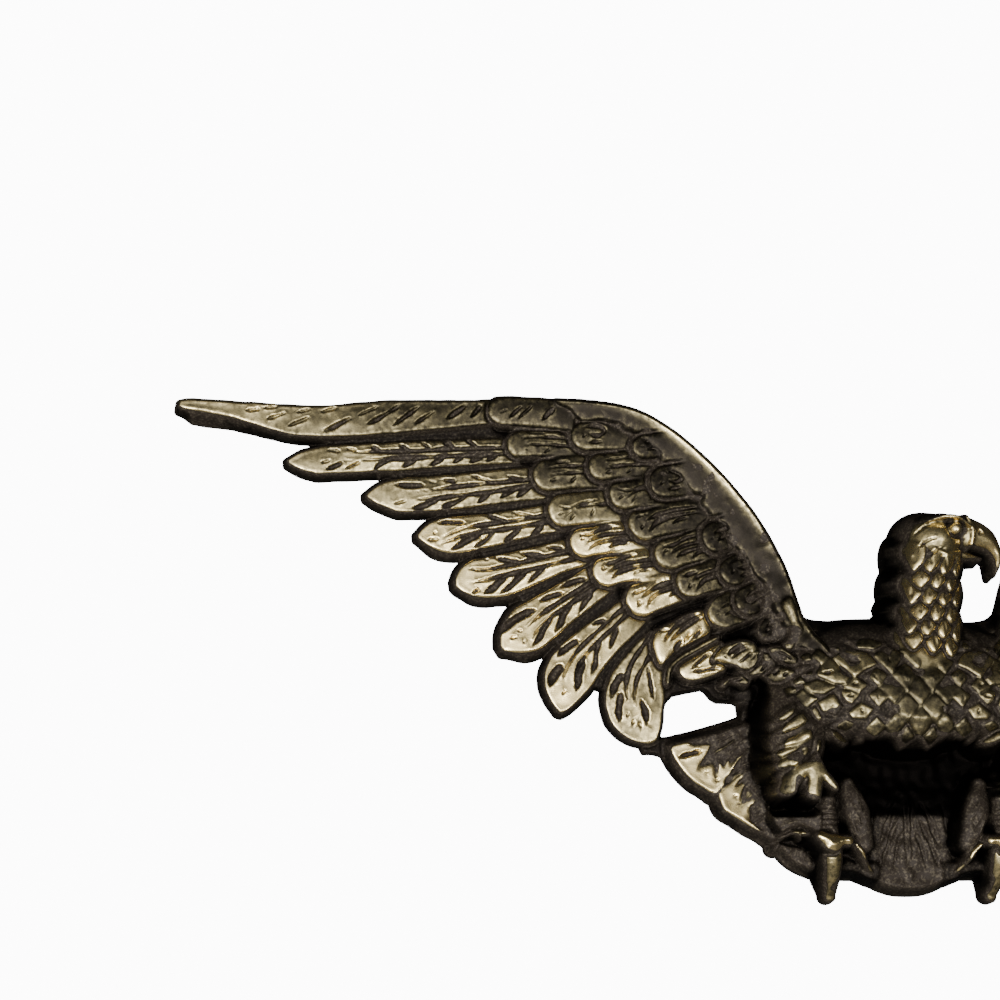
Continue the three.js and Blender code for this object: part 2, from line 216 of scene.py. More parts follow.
# A feather's edges and cuts are lengths along its quill, from the tip, and distances from it, upwards positive.
def layFeather(canvas, quill, upper, lower, height, cuts=(), camber=0.5, tipHeight=None, dropAt=None, dark=1.0,
               droop=0.0, droopLength=14.0, tone=1.0, fade=0.0, rootInk=0.0, **finish):
    path = smoothCurve(quill, 10)
    top, bottom = smoothCurve(upper, 5), smoothCurve(lower, 5)
    outline = np.vstack([offPath(path, *top.T), offPath(path, *bottom.T)[::-1]])
    box = window(canvas, outline)
    x, z = canvas["x"][box], canvas["z"][box]
    wobble = canvas["wobble"][box]
    inside = edgeDistance(outline, x, z) + 0.1 * wobble
    along, left, _ = followPath(path, x, z)
    half = max(abs(top[:, 1]).max(), abs(bottom[:, 1]).max())
    tipHeight = height if tipHeight is None else tipHeight
    share = along / pathLength(path)
    plain = tipHeight + (height - tipHeight) * np.clip(share, 0, 1) - camber * (left / half) ** 2
    plain -= droop * np.clip(1 - along / droopLength, 0, 1) ** 2
    # painted shade: the tone falls off towards the root and the upper side, where the light falls off
    finish["tone"] = tone * (1 - fade * ease(share, 0.1, 1)) - 0.012 * np.maximum(left, 0) * fade
    carved, ink = plain.copy(), rootInk * ease(share + 0.08 * wobble, 0.45, 0.95)
    carve(carved, ink, along, left, cuts, wobble, dark=dark)
    face = plain + (carved - plain) * np.clip(1 + inside / 0.4, 0, 1)      # the walls aren't cut
    if dropAt:
        finish["drop"] = dropAt(along, left)
    lay(canvas, box, inside, face, ink, openFrom=ease(share, 0.45, 0.8), **finish)


# Flight feathers, outermost first
# "drop" is how steep the walls are. "under" is the gentler slope of the wall below the quill near the tip, and the
# lengths between which it gives way to the steep one.
flightFeathers = [
    {"quill": [(-296.8, 103.2), (-268, 99.7), (-240, 97.2), (-207, 99.5), (-163, 102.5)], "height": 9.5,
     "under": (1.9, 10, 45), "tone": 0.56, "dark": 0.7, "fade": 0.65, "droop": 0.5,
     "upper": [(0, 2.2), (3, 3.2), (10, 3.8), (20, 4.6), (30, 5.3), (50, 6.5), (70, 7.5), (80, 7.8), (90, 7.6),
               (110, 6.5), (135, 5.8)],
     "lower": [(0, -0.9), (3, -1.3), (10, -1.5), (20, -1.9), (30, -3.7), (40, -5.4), (50, -6.3), (90, -6.3),
               (110, -5.4), (135, -4.5)],
     "cuts": [(1.2, (27, 1.4), (33, 3)), (1.1, (34, 3.4), (40, 5)), (1.2, (36, -1.2), (44, 3)),
              (1.2, (44, -3.2), (54, 2.2)), (1.1, (47, 3.2), (54, 5.4)), (1.1, (57, 3.8), (65, 6)),
              (1.3, (59, -4), (71, 1.5)), (1.1, (73, 2), (82, 5.2)), (1.4, (76, -2.4), (83, 1), (91, 5.2)),
              (1.4, (86, -4), (92, 0), (99, 4.6)), (1.4, (96, -3), (106, 3)), (1.6, (109, -1.6), (118, 4)),
              (1.4, (119, -1.5), (124, 3.6))]},
    {"quill": [(-252.5, 81), (-207, 84), (-156, 87)], "height": 8.5, "drop": 3.3, "tone": 0.58,
     "upper": [(0, 0.8), (3, 2.6), (6, 4), (10, 5), (15, 5.6), (30, 5.8), (95, 5.8)],
     "lower": [(0, -0.8), (3, -2.8), (6, -4.4), (10, -5.6), (15, -6.4), (45, -6.4), (60, -5.8), (95, -5)],
     "cuts": [(1.6, (20, 2.2), (30, 2), (50, 1.7), (100, 1.5)), (1.5, (21, -1), (30, -1.3), (50, -1.2), (98, -1.1)),
              (1.2, (15.5, 3.7), (22, 2.8)), (1.2, (29, 2.6), (24, 4)), (1.2, (38, 2.4), (34, 4.4)),
              (1.3, (50, 2.2), (45.5, 4.7)), (1.4, (59, 2.2), (54.5, 5.2)), (1.4, (68.5, 2.2), (64, 5.2)),
              (1.5, (78, 2), (73, 5.8)), (0.9, (13.5, -1.6), (18, -0.6)), (1.5, (15.5, -4.4), (23, -1.8)),
              (1.4, (23, -4.6), (30, -1.8)), (1.4, (35, -6), (37, -3.6), (42, -1.5)), (1.3, (46.5, -4.9), (53, -1.5)),
              (1.3, (57.5, -4.7), (64, -1.5)), (1.3, (67, -4.2), (72, -1.4)), (1.3, (74, -4.3), (80, -1.4)),
              (1.3, (81, -4.1), (86, -1.2))]},
    {"quill": [(-220.5, 67.5), (-190, 69), (-146, 74)], "height": 8.5, "drop": 3.2, "tone": 0.68,
     "upper": [(0, 0.6), (3, 2.8), (6, 4.6), (10, 5.9), (15, 6.6), (25, 7.2), (78, 7.2)],
     "lower": [(0, -0.8), (3, -3), (6, -4.8), (10, -6.6), (15, -7.8), (30, -7.7), (45, -7.2), (78, -6.8)],
     "cuts": [(1.5, (19, 0.4), (25, 1), (40, 1.8), (76, 1.9)),
              (1.6, (16, -2.8), (22, -2.4), (35, -2.1), (50, -1.7), (76, -0.9)),
              (1.7, (12, 3.9), (18, 3.4), (24.5, 3.1)), (0.8, (25.5, 4.7), (29.5, 4.2)),
              (1.1, (31.5, 5.2), (37.5, 3.7)), (1.3, (43.5, 6), (47, 4.4), (52, 2.2)),
              (1.3, (57.5, 5), (60, 3.4), (65, 1.4)), (1.7, (18, -6), (23, -5.2), (30, -2.6)),
              (1.6, (30, -6.2), (35, -5), (42, -2.2)), (1.2, (45, -5.8), (51, -2)),
              (1.3, (54, -4.9), (57, -3.2), (62, -1.2)), (1.3, (61, -5.1), (64, -3.4), (68, -1.2)),
              (0.9, (11, -4.2), (17, -2.8))]},
    {"quill": [(-199.5, 51), (-170, 53.5), (-138, 59)], "height": 8.5, "drop": 3.1, "under": (2.2, 15, 32),
     "tone": 0.93,
     "upper": [(0, 0.8), (3, 3.8), (6, 5.6), (10, 6.6), (15, 7.1), (66, 7.1)],
     "lower": [(0, -1), (3, -3.6), (6, -5.6), (10, -7.4), (15, -8.3), (20, -8), (25, -7.2), (35, -6), (45, -5.2),
               (66, -4.8)],
     "cuts": [(1.5, (10, -1.6), (15, 0.6), (20, 2.1), (30, 2.6), (66, 2.5)),
              (1.5, (8, -4.4), (14, -2.6), (20, -0.9), (28, -0.3), (66, 0)),
              (1.8, (8.5, 4.6), (14, 4.7), (20.5, 3.8)), (1.5, (29.5, 6.3), (33, 4.6), (38, 2.7)),
              (1.4, (39.5, 6.5), (43, 5), (49, 2.8)), (1.8, (13, -6.9), (17, -5), (21, -2.8), (27, -0.6)),
              (1.5, (22.5, -6.5), (27, -4.2), (32, -0.6)), (1.6, (34, -5.6), (38, -3.6), (43, -0.4)),
              (1.5, (45.5, -4.9), (49, -2.8), (52, -0.4)), (0.9, (4, -1.8), (9, -1.9)), (1, (6.8, 1), (8, 0.5))]},
    {"quill": [(-184, 32), (-159.5, 37), (-128, 45)], "height": 8.5, "drop": 2.7, "under": (2.0, 22, 40),
     "tone": 0.95,
     "upper": [(0, 1), (1.5, 4), (4, 6.2), (8, 7.6), (12, 8), (60, 8)],
     "lower": [(0, -1.5), (2, -4), (5, -6.2), (10, -8.2), (15, -9), (20, -9.2), (25, -8.5), (30, -7.6), (40, -5.8),
               (60, -3.5)],
     "cuts": [(1.7, (4, 5), (8, 4.2), (13, 2.9), (25, 2.8), (60, 2.6)),
              (1.7, (6, -1.2), (12, -1.3), (20, -0.9), (60, -0.8)), (1.5, (18, 7), (22, 5), (28, 3.4)),
              (1.4, (28, 7), (32, 5.2), (38, 3.5)), (1.3, (39.5, 6.6), (47, 4.2)), (0.8, (13, 7), (15.5, 6.9)),
              (1.1, (6, -5.7), (9.5, -4.3)), (1.9, (10.5, -6.5), (15, -5), (18, -3), (22, -0.9)),
              (1.9, (17, -7.7), (22, -5.6), (26, -3), (30, -0.8)), (1.6, (29, -5.9), (33, -3.6), (38, -0.8))]},
    {"quill": [(-165, 5.5), (-145.5, 18), (-119, 35.5)], "height": 8.5, "drop": 2.6, "under": (1.8, 22, 40),
     "tone": 1.0,
     "upper": [(0, 1.4), (2, 4.6), (5, 7.4), (9, 9.8), (14, 11), (20, 10.6), (30, 10), (45, 9), (58, 8.2)],
     "lower": [(0, -1.6), (3, -4), (6, -6), (10, -7.8), (15, -8.7), (20, -8.2), (30, -6.6), (40, -5.6), (58, -4.5)],
     "cuts": [(1.8, (12, 1.4), (18, 2.7), (28, 3.2), (58, 2.7)),
              (1.8, (11, -4.6), (14, -2.4), (20, -0.6), (30, 0.1), (58, 0.2)),
              (2.5, (2.5, 5.4), (8, 6.8), (13, 7), (20.5, 5.7)), (1.8, (23, 8), (28, 7), (33.5, 5.4)),
              (1.7, (33.5, 8.3), (39, 7), (45, 5.2)), (2.3, (11, -5.9), (15, -4.6), (19, -2.4), (25, -0.4)),
              (2, (21, -6.1), (25, -4.4), (29, -1.7), (35, -0.2)), (1.5, (34, -5.1), (38, -3), (44, -0.8)),
              (0.9, (5, 2), (8, 0.2)), (0.9, (8, -3.4), (10, -1.8)), (0.8, (9, 2.6), (11, 1.4))]},
    {"quill": [(-141.5, -20.5), (-133.5, -1), (-111, 21.5)], "height": 8.5, "drop": 3.2, "tone": 0.95,
     "upper": [(0, 0.6), (2, 3.6), (5, 6.6), (9, 9.6), (13, 11.3), (18, 11.6), (25, 10.5), (35, 8.8), (57, 6)],
     "lower": [(0, -0.8), (2, -2.6), (5, -4.8), (10, -7.2), (15, -8.7), (20, -9.1), (30, -8.2), (40, -7.6), (57, -7)],
     "cuts": [(1.6, (12, 3), (20, 3.8), (30, 4), (57, 3.4)), (1.6, (12, -2.8), (17, -1), (25, 0.4), (57, 0.8)),
              (2.7, (9, 7), (13, 7), (18, 5.9)), (2, (18.5, 9.5), (23, 8.4), (28.5, 6.7)),
              (1.5, (35.5, 7.7), (39, 6.4), (42, 4.4)), (2.5, (10.5, -3.4), (15, -2.8), (19, -1.2), (25, 0.3)),
              (2, (21.5, -6.1), (26, -4.6), (30, -1.7), (35, 0.3)), (1.6, (34, -5.1), (38, -3), (44, -0.2)),
              (1, (7, 1.6), (10, 0.6))]},
    {"quill": [(-104.5, -32.5), (-111, -14), (-99, 10)], "height": 8.5, "drop": 4.2, "tone": 0.7,
     "upper": [(0, 1.2), (1.5, 4), (4, 6.5), (8, 9.2), (13, 11.4), (18, 12.3), (22, 12.1), (30, 10.8), (40, 8.6),
               (48, 6)],
     "lower": [(0, -2.6), (2, -5), (5, -7.6), (10, -10.6), (15, -12.3), (22, -12.6), (28, -11), (34, -8), (48, -5)],
     "cuts": [(1.6, (18, 2.4), (24, 4.8), (32, 6.2), (48, 5.4)), (1.7, (15, 0.2), (22, 0.4), (30, 1.5), (48, 1.2)),
              (2.2, (13, 7.6), (16, 6.7), (20.5, 5.2)), (1.9, (19.5, 9.5), (23, 8.8), (27, 7.5)),
              (2.3, (8, -2.2), (13, -3.4), (20, -2.5)), (1.8, (19.5, -8.1), (25, -6), (30, -3), (34, 0.4)),
              (0.9, (10, 3.6), (12, 2)), (0.9, (13, 4.8), (15, 2.8)), (0.8, (7.5, 1), (10, 0.4))]},
]
flightFinish = {"drop": 3.75, "camber": 0.9, "moat": 0.9, "moatWidth": 1.4, "edge": 0.9, "roll": 0.5, "rim": 0.18,
                "droop": 1.3, "fade": 0.36}


def underSlope(feather, along, left):
    steep, (low, start, end) = feather.get("drop", flightFinish["drop"]), feather["under"]
    return steep + (low - steep) * (left < 0) * ease(along, 0, 6) * (1 - ease(along, start, end))


def layFlightFeather(canvas, feather):
    finish = {**flightFinish, **{key: value for key, value in feather.items()
                                 if key in ("drop", "tone", "dark", "fade", "droop")}}
    if "under" in feather:
        finish["dropAt"] = lambda along, left: underSlope(feather, along, left)
    layFeather(canvas, *(feather[key] for key in ("quill", "upper", "lower", "height", "cuts")), **finish)


# Coverts
# Tip, how far the feather is turned in degrees, length, half width, the kind of cuts, and tone from dark to bright
coverts = {
    "first": [((-170.5, 103), -3, 36, 6, "slant", 0.16)],
    "lowest": [((-114, 23.5), 20, 32, 7.2, "fork", 0.95), ((-127.8, 36), 10, 34, 6.4, "flame", 1.0),
               ((-137, 48), 8, 34, 6.4, "flame", 1.0), ((-146, 61), 6, 34, 6.8, "cross", 0.45),
               ((-152.2, 76.2), 4, 34, 7, "line", 0.22), ((-163, 89.2), 0, 32, 5.5, "line", 0.22)],
    "middle": [((-80.3, 18), 22, 24, 7.1, "short", 0.2), ((-93.4, 31), 16, 28, 6.6, "fork", 0.22),
               ((-102.4, 43), 14, 30, 6.6, "flame", 0.2), ((-112.8, 55.2), 14, 34, 7.4, "fork", 0.12),
               ((-121, 68), 8, 30, 6.6, "cross", 0.2), ((-129.5, 79.3), 6, 30, 5.6, "line", 0.2),
               ((-136.5, 92.6), 2, 30, 6.2, "ring", 0.2)],
    "upper": [((-60, 10.5), 34, 12, 4.6, "short", 0.03), ((-68.8, 22.4), 30, 15, 6.2, "short", 0.05),
              ((-75.2, 35), 24, 16, 6, "ring", 0.03), ((-82.4, 49), 22, 17, 6.6, "short", 0.04),
              ((-104.3, 72.8), 8, 21, 6.6, "ring", 0.06), ((-111.5, 88), 4, 18, 4.8, "short", 0.08)],
}
covertHeights = {               # at tip and root
    "first": (10.4, 10.8), "lowest": (11.2, 9.0), "middle": (12.4, 10.0), "upper": (13.9, 10.6),
}
covertShape = {"bend": 0.025, "rounding": 1.15, "roundness": 2.2, "cutWidth": 0.8, "rootInk": 1.3}
covertFinish = {"camber": 0.9, "moat": 1.5, "moatWidth": 1.9, "drop": 3.2, "edge": 1.2, "roll": 0.4, "rim": 0.08,
                "droop": 1.0, "droopLength": 9.0, "fade": 0.3}
covertCuts = {
    "flame": [(1.4, (4, 3), (9, 2.6), (14, 3.8), (20, 4.2)), (1.9, (6, -0.8), (11, 0.8), (17, 1.2), (32, 1.4)),
              (1.7, (6.5, -3.8), (10, -2), (16, -1.2), (30, -1)), (1.4, (15, -4.6), (18, -3), (24, -2.4)),
              (0.9, (3.4, 0.6), (6, 1.6))],
    "fork": [(1.2, (3.5, 3.2), (10, 3)), (1.9, (6.5, 0.4), (11, 1.4), (18, 1.8), (30, 1.6)),
             (1.8, (7, -4.2), (10.5, -1.6), (15, -0.6), (30, -0.6)), (1, (4, -2.4), (5.6, -0.8)),
             (1.3, (17, -4), (20, -2.6), (26, -2.2))],
    "cross": [(1.1, (3, 2.8), (8, 0.6), (14, 1.6), (22, 3)), (1.3, (5, -3.8), (9, -1), (15, 0.6), (30, 0.8)),
              (1, (17, -4), (19, -0.8)), (0.8, (3.2, -2), (6, -0.8)), (0.9, (8, -4.6), (11, -2.2))],
    "line": [(1.2, (5.5, 2.2), (12, 2.4), (30, 2.4)), (1.2, (7, -0.8), (14, -0.6), (30, -0.8)),
             (1.1, (15, -4.4), (18, -2.2)), (1.1, (9, 4.4), (16, 4)), (0.8, (6, -3), (9.5, -2.6))],
    "slant": [(1.5, (8, -3), (14, 2.2)), (1.6, (12, -3.4), (18, 2.6)), (1.6, (22, -3.8), (27, 2.8)),
              (1.1, (4, -1), (8, 0.6))],
    "ring": [(1.3, (5, 3.2), (10, 3.8), (14, 1.6), (11.5, -0.6), (7, 0.6)), (1.2, (7, -3.2), (13, -3)),
             (1, (4, -1), (6, 0.4))],
    "short": [(1.3, (4.5, 1.6), (9, 2), (14, 1.6)), (1.3, (5, -1.8), (9, -1), (14, -1.4)), (0.9, (3, 0), (5, 0.2))],
}


def layCovert(canvas, row, spot, turn, length, half, kind, tone):
    c = covertShape
    way = np.array([math.cos(math.radians(turn)), math.sin(math.radians(turn))])
    tip, side = np.array(spot), np.array([-way[1], way[0]])
    quill = [tip, tip + way * length / 2 + side * c["bend"] * length, tip + way * length]
    rounding = c["rounding"] * half
    along = np.array([0, 0.25, 0.8, 1.8, 3.2, 5, rounding, length])
    width = half * (1 - np.clip(1 - along / rounding, 0, 1) ** c["roundness"]) ** (1 / c["roundness"])
    tipHeight, rootHeight = covertHeights[row]
    cuts = [(c["cutWidth"] * wide, *points) for wide, *points in covertCuts[kind]]
    layFeather(canvas, quill, np.column_stack([along, width]), np.column_stack([along, -width]), rootHeight, cuts,
               tipHeight=tipHeight, tone=tone, rootInk=c["rootInk"] if row == "upper" else 0.0, **covertFinish)


# Leading edge
leadingEdge = {
    "ridge": [(-143, 106.9), (-131.5, 106.4), (-118, 104.8), (-107.5, 101.6), (-97.8, 96.2), (-89.4, 89.8),
              (-79.6, 80.8), (-69.7, 69.9), (-59.8, 56.6), (-50.4, 38.4), (-45.8, 23.5), (-43.6, 16.6), (-39.7, 10),
              (-35.6, 5), (-32.5, 0.6)],
    "height": [12, 13, 13.6, 14, 14, 14, 14, 14, 14, 14.4, 15.5, 17, 19.5, 22, 24],
    "width": [0.6, 8, 9, 9.4, 10.5, 13, 14, 14, 13, 11, 8.5, 8.5, 8, 4, 1],
    # painted light along the ridge: brighter in the middle, where the ridge catches the light, darker towards its ends
    "paintedLightAlong": [0.1, 0.15, 0.25, 0.5, 0.9, 1, 1, 0.9, 0.5, 0.2, 0.1, 0.3, 0.2, 0.1, 0],
    "ragged": 0.8, "dish": (0.1, 0.006), "step": 2.6,       # the inner side, which ends in a ragged step
    "bevel": 2.0, "bevelDrop": 1.3, "slope": 6.4,           # the outer side
    "crest": 0.6, "crestWidth": 0.55, "ends": 5.0,
    "innerInk": 0.7, "outerInk": 0.3, "tone": 0.04,
    "paintedHighlight": (1.5, 0.75), "paintedSheen": (0.2, 1.6, 1.8),         # painted highlight along the crest, and painted sheen on the metal beside it
}


def layLeadingEdge(canvas):
    e = leadingEdge
    path = smoothCurve(e["ridge"], 8)
    box = window(canvas, path, 22)
    x, z = canvas["x"][box], canvas["z"][box]
    along, left, far = followPath(path, x, z)
    marks = np.concatenate([[0], np.cumsum(np.hypot(*np.diff(path, axis=0).T))])[::8]
    top = np.interp(along, marks, e["height"])
    width = np.interp(along, marks, e["width"]) + e["ragged"] * canvas["wobble"][box]
    inner, outer = np.maximum(-left, 0), np.maximum(left, 0)
    height = top - e["dish"][0] * inner - e["dish"][1] * inner**2 - e["step"] * ease(inner, width - 2.5, width + 0.5)
    height -= e["bevelDrop"] * (np.minimum(outer, e["bevel"]) / e["bevel"]) ** 2
    height -= e["slope"] * np.maximum(outer - e["bevel"], 0) + e["ends"] * np.maximum(far - np.abs(left), 0)
    height += e["crest"] * np.exp(-((left / e["crestWidth"]) ** 2))
    wins = (height > canvas["relief"][box]) & (inner < width + 3)
    ink = np.maximum(e["outerInk"] * ease(outer, 1.8, 2.8), e["innerInk"] * ease(inner, width - 1, width + 1))
    paintedLightAlong = np.interp(along, marks, e["paintedLightAlong"])
    paintedHighlight, paintedHighlightWidth = e["paintedHighlight"]
    paintedSheen, paintedSheenAt, paintedSheenWidth = e["paintedSheen"]
    # painted light: the bar darkens where its painted light is low, with a painted highlight and sheen at the crest
    tone = e["tone"] * np.clip(paintedLightAlong, 0.2, 1) + paintedLightAlong * (
        paintedHighlight * np.exp(-((left / paintedHighlightWidth) ** 2)) + paintedSheen * np.exp(-(((left + paintedSheenAt) / paintedSheenWidth) ** 2)))
    canvas["relief"][box] = np.where(wins, height, canvas["relief"][box])
    canvas["ink"][box] = np.where(wins, ink, canvas["ink"][box])
    canvas["tone"][box] = np.where(wins & (inner < width), tone, canvas["tone"][box])


# Tail
# Outlines, paths and cuts are points of the sheet from here on.
tail = {
    "height": 9.0, "drop": 2.25,
    "feathers": [
        {"outline": [(0, -89.8), (-6, -89.4), (-12, -87.4), (-17, -84), (-19.5, -79), (-8, -30), (8, -30),
                     (19.5, -79), (17, -84), (12, -87.4), (6, -89.4)], "tone": 0.5},
        {"outline": [(-21, -83), (-27, -83.4), (-33, -83.6), (-38.4, -83), (-45.6, -80), (-50, -76.4), (-52, -73.2),
                     (-53.4, -70.2), (-30, -25), (-12, -25), (-18.5, -79)], "tone": 0.3},
        {"outline": [(-55, -70.8), (-60.6, -67.9), (-65.2, -65.6), (-70, -62.4), (-75, -59.4), (-76.8, -56),
                     (-77.6, -53), (-78.4, -50.5), (-55, -25), (-40, -25), (-52, -64)], "tone": 0.95},
        {"moat": 0.1, "outline": [(-78.6, -51.8), (-84, -50), (-88, -47.5), (-92, -43.4), (-95.2, -38.8),
                     (-97.2, -34.2), (-95.6, -32.8), (-85, -30.2), (-70, -25.8), (-58, -21.6), (-55, -28),
                                  (-70, -42)], "tone": 0.95},
    ],
    # the part of the outer feathers that is left bright, with its ragged inner edge; inward of it the tail is dimmed,
    # sunk a little and darkened
    "bright": [(-96.8, -34.9), (-95.5, -32.6), (-93, -31), (-89.7, -30), (-86.8, -29.2), (-83.9, -28.6), (-81, -28.5),
               (-83.5, -29.6), (-85.6, -30.5), (-88.1, -31.1), (-89.3, -31.8), (-89.5, -32.4), (-87.3, -33.1),
               (-84, -32.9), (-81.1, -32.6), (-80.1, -32.9), (-81.1, -34.2), (-82, -35.9), (-83.3, -37.9),
               (-84.3, -39.5), (-85.2, -40.7), (-85.8, -42.3), (-84.2, -41.7), (-82.1, -41.1), (-80.4, -40.6),
               (-79.4, -40.8), (-79.2, -42.7), (-79, -44.7), (-78.6, -46.7), (-77.9, -45.1), (-77.1, -43.5),
               (-76.9, -41.9), (-77.6, -39.9), (-76.3, -40.7), (-75.9, -42.3), (-75.2, -42.9), (-74.2, -41.1),
               (-73.9, -39.8), (-73.4, -38.5), (-73, -40.2), (-73.1, -42.3), (-71.4, -40.2), (-69.3, -37.8),
               (-66.8, -35.8), (-64, -34), (-66.4, -36.2), (-68.5, -38.2), (-70.6, -40.6), (-72.7, -43.5),
               (-74.8, -45.9), (-75.3, -48.7), (-73.2, -48.7), (-70.7, -46.3), (-67.4, -44.1), (-64.1, -42.5),
               (-60.7, -41.3), (-63.7, -43.4), (-66.6, -45.4), (-69.1, -47), (-71.2, -49.9), (-69.1, -49.1),
               (-67.1, -47.9), (-65.4, -47.2), (-66.7, -48.6), (-67.5, -49.8), (-68.2, -51.4), (-68.7, -53),
               (-68.9, -55), (-68.4, -56.6), (-69.3, -58.2), (-67.8, -57.6), (-66, -56.2), (-63.5, -55),
               (-60.6, -53.2), (-62.7, -55), (-64.4, -56.2), (-65.1, -57.4), (-65.6, -59.4), (-65.6, -61.4),
               (-65.3, -63.4), (-63.7, -64.6), (-62.5, -65.8), (-59, -67.4), (-61.4, -70), (-75.3, -69),
               (-99.4, -49.1)],
    "sunk": 0.75, "shade": 0.93, "dim": 0.5,
    "cuts": [(1.7, (-93.9, -38.1), (-91, -37.1), (-87.7, -36.3), (-84, -35.5)), (0.7, (-82.8, -44.1), (-81.9, -43.5)),
             (0.7, (-71.7, -53.1), (-69.8, -53)), (0.7, (-69.9, -56.4), (-68.9, -55.8)),
             (0.7, (-78.7, -47.6), (-77.1, -46.7))],
    "ridges": [(0.55, (-79.9, -37), (-76.1, -34.6), (-72.4, -32.2), (-67, -29.3)),
               (0.45, (-81.1, -37.8), (-77.8, -35), (-74.5, -33.8), (-70.3, -30.5)),
               (0.45, (-80.5, -29.2), (-76, -28.6), (-71.8, -26.5), (-68.5, -24.8)),
               (0.45, (-79.4, -31.4), (-74.4, -29.6), (-70.2, -27.5)),
               (0.45, (-77.7, -33), (-72.7, -30.4), (-68.6, -28.1)),
               (0.45, (-76.2, -37.8), (-71.2, -34.6), (-67, -31.3), (-64.1, -30.1)),
               (0.55, (-73, -43.4), (-69.6, -38.6), (-66.7, -35.8), (-64.2, -34.1)),
               (0.45, (-70.9, -38.6), (-67.1, -37), (-62.9, -34.1)),
               (0.45, (-73.1, -45.8), (-68.9, -41.8), (-64.7, -39.8), (-60.9, -37)),
               (0.45, (-73.9, -47.4), (-69.8, -44.6), (-65.2, -41)),
               (0.55, (-68.3, -55.4), (-64.5, -50.6), (-61.6, -48.2), (-58.9, -46)),
               (0.45, (-67.1, -53), (-64.1, -49), (-60.3, -45)), (0.45, (-68, -56.2), (-64.2, -52.6), (-60, -49)),
               (0.45, (-65.5, -54.6), (-61.7, -51.4), (-58, -49.8)),
               (0.45, (-64.4, -45.8), (-61.1, -43.8), (-58.2, -41.8)),
               (0.45, (-64.7, -57), (-61.3, -54.2), (-58.4, -52.6)),
               (0.55, (-64.4, -63), (-62.7, -61.4), (-61.5, -59.4)),
               (0.5, (-63.6, -64.6), (-60.7, -62.6), (-58.6, -60.2)),
               (0.45, (-63.9, -60.2), (-61.4, -57), (-58.5, -55.4)), (0.9, (-50, -77), (-47, -70), (-43, -62)),
               (1.0, (-44, -80), (-41.6, -72), (-38, -64)), (0.9, (-54, -73), (-51, -68), (-47, -62))],
    "middleCuts": [(1.5, (-29, -80), (-27, -72), (-23, -58)), (1.3, (-24, -79), (-22, -70), (-19, -58)),
                   (1.7, (-1.5, -80), (-1.4, -60), (-1.3, -34)), (1.5, (-7, -84), (-5, -74), (-2, -66)),
                   (1.5, (-12, -82), (-8.6, -72), (-4, -62)), (1.5, (-12.4, -74), (-8, -62), (-3.4, -52)),
                   (1.4, (-9.4, -60), (-6, -52), (-2.6, -44)), (1.4, (-14, -82.6), (-13, -78))],
}


# Body, for one side
plates = [      # height and outline of the ground that the feathers, the legs and the foot stand on
    (5.5, [(-236, 98), (-168, 104), (-130, 106), (-98, 96), (-72, 70), (-50, 38), (-42, 10), (-46, -16),
           (-67.8, -15.8), (-69.8, -14.7), (-76.4, -14.5), (-78.3, -13.4), (-80.6, -10.6), (-82.6, -9.4),
           (-90, -10.8), (-95.2, -12), (-97.6, -14.4), (-106, -17), (-130, -8), (-148, 16), (-150, 18), (-170, 41),
           (-185, 59), (-205, 75.5), (-234, 90)]),
    (5.5, [(-67.8, -12), (-44, 12), (2, 12), (2, -60), (-48, -60), (-65, -34), (-66.6, -21.6)]),
    (4.5, [(-109, -31), (-97, -30.4), (-94.5, -36), (-98.4, -37), (-103, -35.8), (-106.8, -35.8)]),
]
plateInk = 1.7                                              # black: painted shade on the deep ground between the feathers, which nothing rubs either
